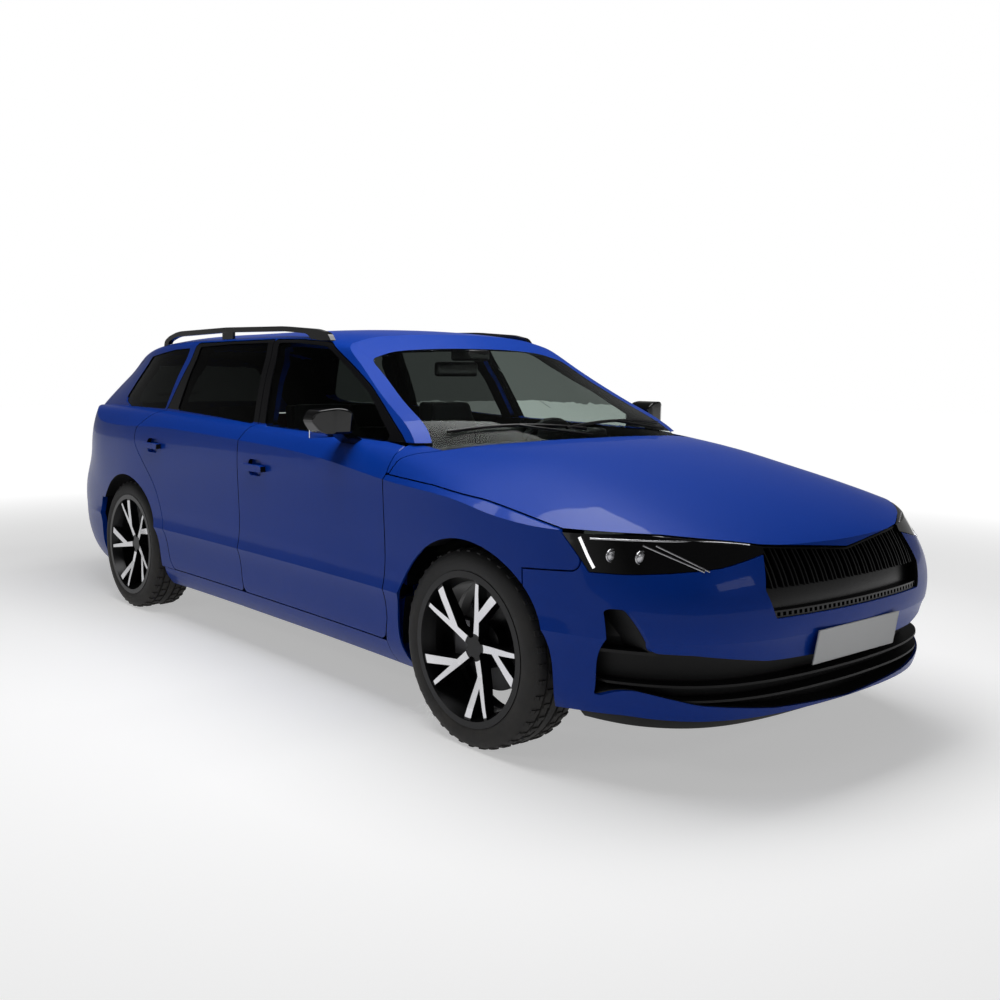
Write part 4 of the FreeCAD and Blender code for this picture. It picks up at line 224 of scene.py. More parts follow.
def remap(tree, value, low, high, to_low, to_high):
    """A range of one value carried to another range."""
    node = tree.nodes.new("ShaderNodeMapRange")
    tree.links.new(value, node.inputs["Value"])
    for label, number in (("From Min", low), ("From Max", high), ("To Min", to_low), ("To Max", to_high)):
        if isinstance(number, (int, float)):
            node.inputs[label].default_value = number
        else:
            tree.links.new(number, node.inputs[label])
    return node.outputs["Result"]


def mix_colours(tree, factor, first, second):
    """A colour between two others."""
    node = tree.nodes.new("ShaderNodeMix")
    node.data_type = "RGBA"
    tree.links.new(factor, node.inputs["Factor"])
    for socket, value in ((node.inputs["A"], first), (node.inputs["B"], second)):
        if isinstance(value, tuple):
            socket.default_value = value
        else:
            tree.links.new(value, socket)
    return node.outputs["Result"]


NUMBER, COLOUR, ARROW = "NodeSocketFloat", "NodeSocketColor", "NodeSocketVector"

grain, grain_in, grain_out = new_group(
    "fine_grain",
    [("Vector", ARROW, None), ("Scale", NUMBER, 900.0), ("Low", NUMBER, 0.4), ("High", NUMBER, 0.6)],
    [("Value", NUMBER), ("Height", NUMBER)],
)
speck = texture(grain, "ShaderNodeTexNoise", grain_in.outputs["Scale"], grain_in.outputs["Vector"], 3.0)
grain.links.new(
    remap(grain, speck.outputs["Fac"], 0.3, 0.7, grain_in.outputs["Low"], grain_in.outputs["High"]),
    grain_out.inputs["Value"],
)
grain.links.new(speck.outputs["Fac"], grain_out.inputs["Height"])

dust, dust_in, dust_out = new_group(
    "road_dust",
    [("Vector", ARROW, None), ("Top", NUMBER, 0.35), ("Amount", NUMBER, 0.3)],
    [("Mask", NUMBER)],
)
split = dust.nodes.new("ShaderNodeSeparateXYZ")
dust.links.new(dust_in.outputs["Vector"], split.inputs[0])
low_down = remap(dust, split.outputs["Z"], 0.0, dust_in.outputs["Top"], 1.0, 0.0)
cloud = texture(dust, "ShaderNodeTexNoise", 9.0, dust_in.outputs["Vector"], 6.0)
patchy = remap(dust, cloud.outputs["Fac"], 0.35, 0.7, 0.2, 1.0)
dust.links.new(
    maths(dust, "MULTIPLY", maths(dust, "MULTIPLY", low_down, patchy), dust_in.outputs["Amount"]),
    dust_out.inputs["Mask"],
)

flake, flake_in, flake_out = new_group(
    "metal_flake",
    [("Vector", ARROW, None), ("Scale", NUMBER, 2600.0), ("Dark", COLOUR, None), ("Bright", COLOUR, None)],
    [("Color", COLOUR), ("Height", NUMBER)],
)
cells = texture(flake, "ShaderNodeTexVoronoi", flake_in.outputs["Scale"], flake_in.outputs["Vector"])
shade = flake.nodes.new("ShaderNodeSeparateColor")
flake.links.new(cells.outputs["Color"], shade.inputs[0])
flake.links.new(
    mix_colours(flake, shade.outputs["Red"], flake_in.outputs["Dark"], flake_in.outputs["Bright"]),
    flake_out.inputs["Color"],
)
flake.links.new(shade.outputs["Green"], flake_out.inputs["Height"])
print("groups", [g.name for g in bpy.data.node_groups])

# %% [markdown]
# Each material sets its own constants on the shader and takes only what changes over the surface from
# the groups: colour, roughness and the height of its bump.

# %% Make the tools for finishes
GRAIN_LOW, GRAIN_HIGH = 0.85, 1.15
DUST_COLOUR = (0.16, 0.14, 0.12, 1)


def finish(name, colour, roughness, metallic=0.0, **sockets):
    """A named material with its Principled shader, and the coordinate its patterns read."""
    material = bpy.data.materials.new(name)
    material.use_nodes = True
    shader = material.node_tree.nodes["Principled BSDF"]
    shader.inputs["Base Color"].default_value = (*colour, 1)
    shader.inputs["Roughness"].default_value = roughness
    shader.inputs["Metallic"].default_value = metallic
    for label, value in sockets.items():
        shader.inputs[label.replace("_", " ")].default_value = value
    place = material.node_tree.nodes.new("ShaderNodeTexCoord")
    return material, shader, place.outputs["Object"]


def use(material, group, vector, **values):
    """A group placed in a material with its own values."""
    tree = material.node_tree
    node = tree.nodes.new("ShaderNodeGroup")
    node.node_tree = group
    tree.links.new(vector, node.inputs["Vector"])
    for label, value in values.items():
        node.inputs[label].default_value = value
    return node


def bump(material, shader, height, distance, strength=0.4):
    """Small relief on a surface."""
    tree = material.node_tree
    node = tree.nodes.new("ShaderNodeBump")
    node.inputs["Strength"].default_value = strength
    node.inputs["Distance"].default_value = distance
    tree.links.new(height, node.inputs["Height"])
    tree.links.new(node.outputs["Normal"], shader.inputs["Normal"])


def grained(name, colour, roughness, scale, relief, dusty=0.0, dust_top=0.3, **sockets):
    """A finish with a fine grain in its gloss and relief, and dust low on the car."""
    material, shader, place = finish(name, colour, roughness, **sockets)
    tree = material.node_tree
    low, high = roughness * GRAIN_LOW, min(1.0, roughness * GRAIN_HIGH)
    fine = use(material, grain, place, Scale=scale, Low=low, High=high)
    tree.links.new(fine.outputs["Value"], shader.inputs["Roughness"])
    if relief:
        bump(material, shader, fine.outputs["Height"], relief)
    if dusty:
        film = use(material, dust, place, Top=dust_top, Amount=dusty)
        tree.links.new(
            mix_colours(tree, film.outputs["Mask"], (*colour, 1), DUST_COLOUR),
            shader.inputs["Base Color"],
        )
    return material


print("dust", DUST_COLOUR[:3])

# %% [markdown]
# The body is blue with fine flakes under a clear coat. The same panels are dark trim where they look into
# the car, and the door frames are black above the belt line. The same black is painted shade where a panel
# looks down, in recesses such as the handle cups, and at the shut lines on the side panels' and doors'
# front and rear edges. Masks made from each face's direction and place tell these zones apart.

# %% Mix the paint
PAINT_DARK = (0.0008, 0.016, 0.16, 1)
PAINT_BRIGHT = (0.0015, 0.052, 0.42, 1)
PAINT_ROUGHNESS = 0.4
PAINT_METALLIC = 0.1
PAINT_COAT = 0.22
# Black for trim inside the car, and also painted shade under panels, in recesses and at shut lines.
TRIM_AND_SHADE_BLACK = (0.006, 0.006, 0.007, 1)
TRIM_AND_SHADE_ROUGHNESS = 0.6
FRAME_SMOOTHER = 0.2
TRIM_AND_SHADE_FROM = (0.30, 0.34)
SHUT_LINE_SHADE_FROM = (0.16, 0.20)
TAIL_FROM = (-1.72, -1.70)
paint, shader, place = finish(
    "blue_paint", PAINT_BRIGHT[:3], PAINT_ROUGHNESS, PAINT_METALLIC, Coat_Weight=PAINT_COAT,
    Coat_Roughness=0.03, Coat_IOR=1.4, Specular_IOR_Level=0.08,
)
flakes = use(paint, flake, place, Scale=2600.0, Dark=PAINT_DARK, Bright=PAINT_BRIGHT)
bump(paint, shader, flakes.outputs["Height"], 0.0002, 0.08)


def trim_and_painted_shade(tree, place, edges=False):
    """Trim and painted shade where faces look inward or down, and on request at panels' front and rear
    edges.
    """
    way = tree.nodes.new("ShaderNodeSeparateXYZ")
    tree.links.new(place.node.outputs["Normal"], way.inputs[0])
    spot = tree.nodes.new("ShaderNodeSeparateXYZ")
    tree.links.new(place, spot.inputs[0])
    side = maths(tree, "SIGN", spot.outputs["Y"], 0.0)
    # Inward faces: trim inside the car, and painted shade in recesses such as the handle cups.
    inward = maths(tree, "MULTIPLY", maths(tree, "MULTIPLY", way.outputs["Y"], side), -1.0)
    # Faces that look down take painted shade.
    down = maths(tree, "SUBTRACT", maths(tree, "MULTIPLY", way.outputs["Z"], -1.0), 0.5)
    inner = remap(tree, maths(tree, "MAXIMUM", inward, down), *TRIM_AND_SHADE_FROM, 0.0, 1.0)
    if edges:
        # A panel's front and rear edges at the shut lines take painted shade.
        up_or_out = maths(tree, "MAXIMUM", maths(tree, "MULTIPLY", inward, -1.0), way.outputs["Z"])
        edge = remap(tree, up_or_out, *SHUT_LINE_SHADE_FROM, 1.0, 0.0)
        ahead_of_tail = remap(tree, spot.outputs["X"], *TAIL_FROM, 0.0, 1.0)
        inner = maths(tree, "MAXIMUM", inner, maths(tree, "MULTIPLY", edge, ahead_of_tail))
    return inner, spot


def painted(name, above=None, edges=False):
    """Body paint with black inside trim and painted shade, and on a door a black window frame above the
    belt.
    """
    copy = paint.copy()
    copy.name = name
    tree = copy.node_tree
    skin = tree.nodes["Principled BSDF"]
    group = next(node for node in tree.nodes if node.type == "GROUP")
    where = next(node for node in tree.nodes if node.type == "TEX_COORD").outputs["Object"]
    # The mask is inside trim plus painted shade under panels, in recesses and on request at shut lines.
    inner, spot = trim_and_painted_shade(tree, where, edges)
    mask = inner
    frame_mask = None
    if above:
        (x_a, z_a), (x_b, z_b) = above
        belt = remap(tree, spot.outputs["X"], x_a, x_b, z_a, z_b)
        over = maths(tree, "SUBTRACT", spot.outputs["Z"], belt)
        frame_mask = remap(tree, over, 0.0, 0.002, 0.0, 1.0)
        mask = maths(tree, "MAXIMUM", inner, frame_mask)
    tree.links.new(
        mix_colours(tree, mask, group.outputs["Color"], TRIM_AND_SHADE_BLACK), skin.inputs["Base Color"]
    )
    tree.links.new(remap(tree, mask, 0.0, 1.0, PAINT_METALLIC, 0.0), skin.inputs["Metallic"])
    rough = remap(tree, inner, 0.0, 1.0, PAINT_ROUGHNESS, TRIM_AND_SHADE_ROUGHNESS)
    if frame_mask is not None:
        rough = maths(tree, "SUBTRACT", rough, maths(tree, "MULTIPLY", frame_mask, FRAME_SMOOTHER))
    tree.links.new(rough, skin.inputs["Roughness"])
    tree.links.new(remap(tree, inner, 0.0, 1.0, PAINT_COAT, 0.0), skin.inputs["Coat Weight"])
    return copy


BELT_LINE = ((0.896, 0.975), (-1.05, 1.042))
body_paint = painted("body_paint")
# Side panels and doors also take painted shade on their front and rear edges at the shut lines.
side_paint = painted("side_paint", edges=True)
door_paint = painted("door_paint", above=BELT_LINE, edges=True)
print("paints", body_paint.name, side_paint.name, door_paint.name)

# %% [markdown]
# The plain finishes differ only in their numbers: colour, gloss, the grain's size and relief, and dust.

# %% Mix the plastics, metals and cloth
gloss_black = grained(
    "gloss_black", (0.003, 0.003, 0.0035), 0.08, 40.0, 0.0, Coat_Weight=0.2, Specular_IOR_Level=0.35
)
black_plastic = grained(
    "black_plastic", (0.006, 0.006, 0.0065), 0.55, 1400.0, 0.0004, dusty=0.08, Specular_IOR_Level=0.25
)
smooth_black = grained(
    "smooth_black", (0.006, 0.006, 0.0065), 0.3, 600.0, 0.0001, dusty=0.05, Specular_IOR_Level=0.35
)
grille_black = grained(
    "grille_black", (0.004, 0.004, 0.0045), 0.3, 600.0, 0.0001, Specular_IOR_Level=0.3
)
floor_metal = grained("floor_metal", (0.03, 0.032, 0.036), 0.6, 300.0, 0.001, dusty=0.3)
bare_steel = grained("bare_steel", (0.35, 0.35, 0.36), 0.35, 500.0, 0.0003, metallic=1.0)
cast_metal = grained("cast_metal", (0.18, 0.18, 0.19), 0.5, 700.0, 0.001, metallic=1.0)
rubber = grained(
    "tyre_rubber", (0.012, 0.012, 0.0125), 0.72, 900.0, 0.0006, dusty=0.25, dust_top=0.6
)
trim_soft = grained("trim_soft", (0.010, 0.010, 0.011), 0.7, 1800.0, 0.0005, Specular_IOR_Level=0.2)
seat_cloth = grained("seat_cloth", (0.022, 0.022, 0.025), 0.85, 2200.0, 0.0012, Sheen_Weight=0.4)
print("plain finishes up to", seat_cloth.name)

# %% [markdown]
# The glass is a thin pane to the eye, so it bends light very little: clear in the windscreen, darker in the
# front doors and darkest behind them.

# %% Mix the glass and the lamps
GLASS = {"Transmission_Weight": 1.0, "IOR": 1.1, "Specular_IOR_Level": 0.9}
clear_glass, shader, place = finish("clear_glass", (0.86, 0.93, 0.89), 0.0, **GLASS)
tinted_glass, shader, place = finish("tinted_glass", (0.10, 0.11, 0.105), 0.0, **GLASS)
door_glass, shader, place = finish("door_glass", (0.32, 0.36, 0.34), 0.0, **GLASS)
red_lamp = grained(
    "red_lens", (0.22, 0.002, 0.002), 0.12, 300.0, 0.0, Coat_Weight=0.2, Specular_IOR_Level=0.3
)
lamp_silver = grained("lamp_silver", (0.5, 0.5, 0.52), 0.25, 300.0, 0.0, metallic=0.9, Coat_Weight=0.5)
mirror_glass = grained("mirror_glass", (0.7, 0.72, 0.74), 0.03, 60.0, 0.0, metallic=1.0)
plate_white = grained("plate_white", (0.62, 0.63, 0.64), 0.35, 500.0, 0.00005, Coat_Weight=0.2)
white_light, shader, place = finish(
    "white_light", (0.9, 0.92, 0.95), 0.2, Emission_Color=(1, 1, 1, 1), Emission_Strength=0.9
)
print("finishes", len(bpy.data.materials))

# %% [markdown]
# The wheels are dark with faces turned bright on a lathe. The bright faces are the ones that look
# outward at the rim's outer face, so a mask from the surface's own direction and depth picks them.

# %% Finish the two-colour wheels
WHEEL_X = {"front": 1.469, "rear": -1.217}
WHEEL_Z = 0.328
ALLOY_DARK = (0.01, 0.01, 0.011, 1)
ALLOY_BRIGHT = (0.70, 0.70, 0.72, 1)
SPOKE_DEPTH = (0.055, 0.05)
SPOKE_TIPS = (0.2265, 0.228)
SPOKE_ROOTS = (0.045, 0.047)


def wheel_finish(name, side, face_y, axle_x):
    """Dark alloy with bright faces where the surface looks outward near the outer face."""
    material, shader, place = finish(name, ALLOY_DARK[:3], 0.3, 0.6)
    tree = material.node_tree
    facing = tree.nodes.new("ShaderNodeSeparateXYZ")
    tree.links.new(place.node.outputs["Normal"], facing.inputs[0])
    outward = maths(tree, "MULTIPLY", facing.outputs["Y"], float(side))
    flat = remap(tree, outward, 0.86, 0.9, 0.0, 1.0)
    spot = tree.nodes.new("ShaderNodeSeparateXYZ")
    tree.links.new(place, spot.inputs[0])
    near = maths(tree, "MULTIPLY", spot.outputs["Y"], float(side))
    outer = remap(tree, near, face_y - SPOKE_DEPTH[0], face_y - SPOKE_DEPTH[1], 0.0, 1.0)
    along = maths(tree, "SUBTRACT", spot.outputs["X"], axle_x)
    above = maths(tree, "SUBTRACT", spot.outputs["Z"], WHEEL_Z)
    squares = maths(tree, "ADD", maths(tree, "POWER", along, 2.0), maths(tree, "POWER", above, 2.0))
    reach = maths(tree, "POWER", squares, 0.5)
    within = remap(tree, reach, *SPOKE_TIPS, 1.0, 0.0)
    spokes = maths(tree, "MULTIPLY", within, remap(tree, reach, *SPOKE_ROOTS, 0.0, 1.0))
    mask = maths(tree, "MULTIPLY", maths(tree, "MULTIPLY", flat, outer), spokes)
    tree.links.new(mix_colours(tree, mask, ALLOY_DARK, ALLOY_BRIGHT), shader.inputs["Base Color"])
    tree.links.new(remap(tree, mask, 0.0, 1.0, 0.3, 0.2), shader.inputs["Roughness"])
    tree.links.new(remap(tree, mask, 0.0, 1.0, 0.5, 1.0), shader.inputs["Metallic"])
    return material


wheel_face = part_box("rim_front_left")[1].y
wheel_paints = {}
for end, axle_x in WHEEL_X.items():
    for label, way in (("left", 1), ("right", -1)):
        wheel_paints[end, label] = wheel_finish(f"wheel_{end}_{label}", way, wheel_face, axle_x)
print("wheels", sorted(wheel_paints))

# %% [markdown]
# ## Dress the CAD panels
# The panels keep their CAD shape and only take a finish. Nothing here moves them.

# %% Give each CAD node its finish
FINISH_OF = (
    (body_paint, ("bonnet", "roof", "tailgate", "front_wings", "front_bumper", "rear_bumper")),
    (side_paint, ("body_side_left", "body_side_right")),
    (door_paint, ("door_front_left", "door_front_right", "door_rear_left", "door_rear_right")),
    (gloss_black, ("headlamps", "mirror_left", "mirror_right", "roof_rails")),
    (smooth_black, ("cowl",)),
    (grille_black, ("front_grille",)),
    (black_plastic, ("lower_grille", "front_undertray")),
    (floor_metal, ("floor_pan", "front_structure", "front_subframe", "rear_axle")),
    (cast_metal, ("engine", "struts", "knuckle_left", "knuckle_right")),
    (bare_steel, ("exhaust",)),
    (trim_soft, ("dashboard", "steering_wheel")),
    (seat_cloth, ("front_seats", "rear_bench")),
    (clear_glass, ("windscreen",)),
    (door_glass, ("glass_front_left", "glass_front_right")),
    (tinted_glass, ("glass_rear_left", "glass_rear_right", "quarter_glasses", "tailgate_glass")),
    (red_lamp, ("tail_lamps", "tailgate_lamps")),
    (rubber, ("tyre_front_left", "tyre_front_right", "tyre_rear_left", "tyre_rear_right")),
)
NODE_FINISHES = {name: material for material, names in FINISH_OF for name in names}
for (end, label), material in wheel_paints.items():
    NODE_FINISHES[f"rim_{end}_{label}"] = material
for name, material in NODE_FINISHES.items():
    node = nodes[name]
    node.data.materials.clear()
    node.data.materials.append(material)
print("dressed", len(NODE_FINISHES), "missing", sorted(set(nodes) - set(NODE_FINISHES)))

# %% [markdown]
# ## Finding the car's skin
# Trim has to lie on curved panels. A ray shot at a panel from outside gives the point that it meets and
# the way the panel faces there, so each strip and lens is placed on the real surface and not by guess.

# %% Shoot rays at the panels
NUDGES = (0.0, -0.004, 0.004, -0.008, 0.008, -0.014, 0.014)


def panel_trees(*names):
    """Search trees of some CAD nodes."""
    graph = bpy.context.evaluated_depsgraph_get()
    return [BVHTree.FromObject(nodes[name], graph) for name in names]


def on_skin(trees, start, direction, lift=0.0):
    """The first panel point along a ray, or along one a few millimetres higher or lower past a gap."""
    for nudge in NUDGES:
        best = None
        origin = Vector(start) + Vector((0, 0, nudge))
        for tree in trees:
            place, normal, _, distance = tree.ray_cast(origin, Vector(direction))
            if place is not None and (best is None or distance < best[0]):
                best = (distance, place, normal)
        if best is not None:
            break
    if best is None:
        raise ValueError(f"no panel along the ray from {tuple(start)}")
    _, place, normal = best
    if normal.dot(Vector(direction)) > 0:
        normal = -normal
    return place + normal * lift


body_of = {
    node: body
    for body, members in frame["record"]["behaviour"]["bodies"].items()
    for node in members
}

# %% [markdown]
# New pieces all go the same way: a rod or a block is made, pieces are joined, and the result takes its
# finish, its shading and the body that it rides on.

# %% Make the tools for pieces


def only(piece):
    """Makes one piece the only one selected, and the active one."""
    bpy.ops.object.select_all(action="DESELECT")
    piece.select_set(True)
    bpy.context.view_layer.objects.active = piece


def finish_piece(piece, material, body, smooth=35):
    """Gives a new piece its finish, its shading and the body that it rides on."""
    only(piece)
    bpy.ops.object.transform_apply(location=True, rotation=True, scale=True)
    bpy.ops.object.shade_smooth_by_angle(angle=math.radians(smooth))
    piece.data.materials.clear()
    piece.data.materials.append(material)
    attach(piece, body)
    return piece


def rod_along(name, points, radius):
    """A round rod along some points: a bevelled curve made into a mesh."""
    bpy.ops.object.select_all(action="DESELECT")
    bpy.ops.curve.primitive_bezier_curve_add(location=(0, 0, 0))
    piece = bpy.context.object
    piece.name = name
    data = piece.data
    data.splines.clear()
    line = data.splines.new("NURBS")
    line.points.add(len(points) - 1)
    for knot, place in zip(line.points, points):
        knot.co = (*place, 1)
    line.order_u = 3
    line.use_endpoint_u = True
    data.resolution_u = 8
    data.bevel_depth = radius
    data.bevel_resolution = 3
    data.use_fill_caps = True
    bpy.ops.object.convert(target="MESH")
    return bpy.context.object


def join_pieces(name, pieces):
    """Several meshes as one piece."""
    only(pieces[0])
    for piece in pieces[1:]:
        piece.select_set(True)
    bpy.ops.object.join()
    pieces[0].name = name
    return pieces[0]


def soft_block(name, low, high, bevel=0.0, cuts=0):
    """A block between two corners, with rounded edges or cut finely so that it can be shaped."""
    low, high = Vector(low), Vector(high)
    bpy.ops.object.select_all(action="DESELECT")
    bpy.ops.mesh.primitive_cube_add(size=1, location=(low + high) / 2)
    piece = bpy.context.object
    piece.name = name
    piece.scale = high - low
    bpy.ops.object.transform_apply(location=True, rotation=True, scale=True)
    bpy.ops.object.mode_set(mode="EDIT")
    bpy.ops.mesh.select_all(action="SELECT")
    if cuts:
        bpy.ops.mesh.subdivide(number_cuts=cuts)
    elif bevel:
        bpy.ops.mesh.bevel(offset=bevel, segments=3, affect="EDGES")
    bpy.ops.object.mode_set(mode="OBJECT")
    return piece


print("tools for pieces are ready")

# %% [markdown]
# ## Tyres
# A tyre is one profile turned about the axle: a bulged side wall, a rounded shoulder and a nearly flat
# tread with grooves round it. In two bands of the tread, every third face is inset and raised into a block.

# %% Turn the tyre profile
SEGMENTS = 120
BLOCK_EVERY = 3
BLOCK_INSET = 0.0012
BLOCK_HEIGHT = 0.0045
TREAD_RADIUS = 0.3225
SHOULDER_BAND = (0.062, 0.092)
RIB_BAND = (0.027, 0.051)
TYRE_PROFILE = (
    (0.244, 0.088), (0.250, 0.101), (0.262, 0.108), (0.280, 0.1115), (0.298, 0.110), (0.312, 0.104),
    (0.3215, 0.094), (0.326, 0.080), (0.3272, 0.064), (0.3275, 0.062), (0.3205, 0.061), (0.3205, 0.053),
    (0.3275, 0.052), (0.328, 0.026), (0.321, 0.025), (0.321, 0.016), (0.328, 0.015), (0.328, 0.0),
)


def tyre_side(profile):
    """The whole section, from the outer bead over the tread to the inner bead."""
    far = [(radius, -across) for radius, across in reversed(profile[:-1])]
    return list(profile) + far


def make_tyre(name, end):
    """A tyre about its own axle, with raised tread blocks."""
    low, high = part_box(name)
    middle = (low.y + high.y) / 2
    section = tyre_side(TYRE_PROFILE)
    bpy.ops.object.select_all(action="DESELECT")
    bpy.ops.mesh.primitive_circle_add(vertices=len(section), location=(0, 0, 0))
    piece = bpy.context.object
    piece.name = "tread_" + name
    axle = Vector((WHEEL_X[end], middle, WHEEL_Z))
    for vertex, (radius, across) in zip(piece.data.vertices, section):
        vertex.co = axle + Vector((0, across, radius))
    bpy.ops.object.mode_set(mode="EDIT")
    bpy.ops.mesh.select_all(action="SELECT")
    bpy.ops.mesh.spin(steps=SEGMENTS, angle=2 * math.pi, center=axle, axis=(0, 1, 0))
    bpy.ops.mesh.select_all(action="SELECT")
    bpy.ops.mesh.remove_doubles(threshold=0.0002)
    bpy.ops.mesh.normals_make_consistent(inside=False)
    bpy.ops.mesh.select_all(action="DESELECT")
    bpy.ops.object.mode_set(mode="OBJECT")
    for face in piece.data.polygons:
        spoke = face.center - axle
        radius = math.hypot(spoke.x, spoke.z)
        turn = math.degrees(math.atan2(spoke.z, spoke.x)) % 360
        index = int(turn / 360 * SEGMENTS)
        wide = abs(spoke.y)
        shoulder = SHOULDER_BAND[0] < wide < SHOULDER_BAND[1] and index % BLOCK_EVERY == 0
        rib = RIB_BAND[0] < wide < RIB_BAND[1] and index % BLOCK_EVERY == 1
        face.select = radius > TREAD_RADIUS and (shoulder or rib)
    bpy.ops.object.mode_set(mode="EDIT")
    bpy.ops.mesh.select_mode(type="FACE")
    bpy.ops.mesh.inset(thickness=BLOCK_INSET, use_individual=True)
    bpy.ops.transform.shrink_fatten(value=BLOCK_HEIGHT)
    bpy.ops.mesh.select_all(action="SELECT")
    bpy.ops.mesh.normals_make_consistent(inside=False)
    bpy.ops.object.mode_set(mode="OBJECT")
    finish_piece(piece, rubber, body_of[name])
    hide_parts(name)
    return piece


for end in ("front", "rear"):
    for side in ("left", "right"):
        tread = make_tyre(f"tyre_{end}_{side}", end)
        print(tread.name, len(tread.data.polygons))

# %% [markdown]
# ## Headlamps
# On the black lens lie two round eyes, a lit strip down the outer edge, a bright line along the top and two
# thin blades that run down and inward. Each follows the lens, so its points come from the panel itself.

# %% Fit the headlamps
HALF_WIDTH = 0.9145
HEIGHT = 1.458
AHEAD_OF_CAR = 3.2
lamp_trees = panel_trees("headlamps", "front_bumper", "front_wings", "bonnet", "front_grille")


def lamp_line(side, route, lift):
    """Points on the lamp's face from (share across, share up) pairs."""
    points = []
    for across, rise in route:
        start = (AHEAD_OF_CAR, -side * across * HALF_WIDTH, rise * HEIGHT)
        points.append(on_skin(lamp_trees, start, (-1, 0, 0), lift))
    return points


TOP_STRIP = (
    (0.885, 0.513), (0.84, 0.513), (0.76, 0.512), (0.66, 0.511), (0.56, 0.509), (0.47, 0.504),
)
EDGE_STRIP = ((0.903, 0.515), (0.898, 0.495), (0.893, 0.472), (0.888, 0.455))
BLADES = (
    ((0.78, 0.503), (0.72, 0.478), (0.66, 0.455)),
    ((0.75, 0.503), (0.70, 0.480), (0.645, 0.455)),
)
EYES = ((0.852, 0.482), (0.795, 0.480))
EYE_RADIUS = 0.020
EYE_SQUASH = 0.8
RING_RADIUS = 0.024
RING_WIRE = 0.0022
STRIP_RADIUS = 0.0045
LINE_RADIUS = 0.0028
BLADE_RADIUS = 0.0024

for side, label in ((1, "right"), (-1, "left")):
    strip = rod_along("lamp_light_" + label, lamp_line(side, EDGE_STRIP, 0.001), STRIP_RADIUS)
    finish_piece(strip, white_light, "body")
    lines = [rod_along("line", lamp_line(side, TOP_STRIP, 0.0005), LINE_RADIUS)]
    for blade in BLADES:
        lines.append(rod_along("blade", lamp_line(side, blade, 0.0008), BLADE_RADIUS))
    finish_piece(join_pieces("lamp_trim_" + label, lines), lamp_silver, "body")
    eyes = []
    for across, rise in EYES:
        centre = lamp_line(side, ((across, rise),), 0.0)[0]
        bpy.ops.object.select_all(action="DESELECT")
        bpy.ops.mesh.primitive_uv_sphere_add(
            segments=32, ring_count=16, radius=EYE_RADIUS, location=centre
        )
        eye = bpy.context.object
        eye.scale = (0.28, 1, EYE_SQUASH)
        bpy.ops.object.transform_apply(location=True, rotation=True, scale=True)
        eyes.append(eye)
        bpy.ops.object.select_all(action="DESELECT")
        bpy.ops.mesh.primitive_torus_add(
            location=centre, rotation=(0, math.pi / 2, 0), major_radius=RING_RADIUS,
            minor_radius=RING_WIRE, major_segments=40, minor_segments=8,
        )
        ring = bpy.context.object
        ring.scale = (EYE_SQUASH, 1, 1)
        bpy.ops.object.transform_apply(location=True, rotation=True, scale=True)
        eyes.append(ring)
    finish_piece(join_pieces("lamp_eyes_" + label, eyes), lamp_silver, "body")
    print("lamp", label)

# %% [markdown]
# ## Plates
# The plates are thin pressed sheets with a raised rim. They stay blank. Each leans with the panel that
# carries it, so the places of its lower and upper edge are measured on the car first.

# %% Hang the blank plates
PLATE_THICKNESS = 0.004
PLATE_RIM = 0.004
PLATE_SLOPE = 0.002
PLATE_RELIEF = 0.0012
PLATE_GAP = 0.005


def make_plate(name, x_low, x_high, half_width, z_low, z_high, outward):
    """A blank plate that leans from its lower edge to its upper edge."""
    piece = soft_block(name, (0, -half_width, z_low), (PLATE_THICKNESS, half_width, z_high))
    bpy.ops.object.mode_set(mode="EDIT")
    bpy.ops.mesh.select_all(action="DESELECT")
    bpy.ops.object.mode_set(mode="OBJECT")
    for face in piece.data.polygons:
        face.select = face.normal.x * outward > 0.9
    bpy.ops.object.mode_set(mode="EDIT")
    bpy.ops.mesh.select_mode(type="FACE")
    bpy.ops.mesh.inset(thickness=PLATE_RIM)
    bpy.ops.mesh.inset(thickness=PLATE_SLOPE)
    bpy.ops.transform.translate(value=(-PLATE_RELIEF * outward, 0, 0))
    bpy.ops.object.mode_set(mode="OBJECT")
    for vertex in piece.data.vertices:
        share = (vertex.co.z - z_low) / (z_high - z_low)
        vertex.co.x += x_low + (x_high - x_low) * share
    only(piece)
    edge = piece.modifiers.new("edge", "BEVEL")
    edge.width = 0.0012
    edge.segments = 2
    bpy.ops.object.modifier_apply(modifier="edge")
    return finish_piece(piece, plate_white, "body")


nose = panel_trees("front_bumper", "lower_grille")
rear = panel_trees("rear_bumper", "tailgate")
front_low, front_high = (
    max(on_skin(nose, (AHEAD_OF_CAR, -0.03, z), (-1, 0, 0)).x, least)
    for z, least in ((0.372, 2.322), (0.462, 2.338))
)
make_plate("front_plate", front_low, front_high, 0.232, 0.358, 0.468, 1)
rear_low, rear_high = (
    on_skin(rear, (-AHEAD_OF_CAR, 0, z), (1, 0, 0)).x - PLATE_GAP for z in (0.43, 0.54)
)
make_plate("rear_plate", rear_low, rear_high, 0.26, 0.43, 0.54, -1)
print("plates at", round(front_low, 3), round(rear_low, 3))

# %% [markdown]
# ## Seats
# A car seat is foam under cloth: crowned cushions between firmer side bolsters, with the headrest grown
# out of the back. Each is a finely cut block whose points are moved, then rounded by subdivision.

# %% Upholster the seats


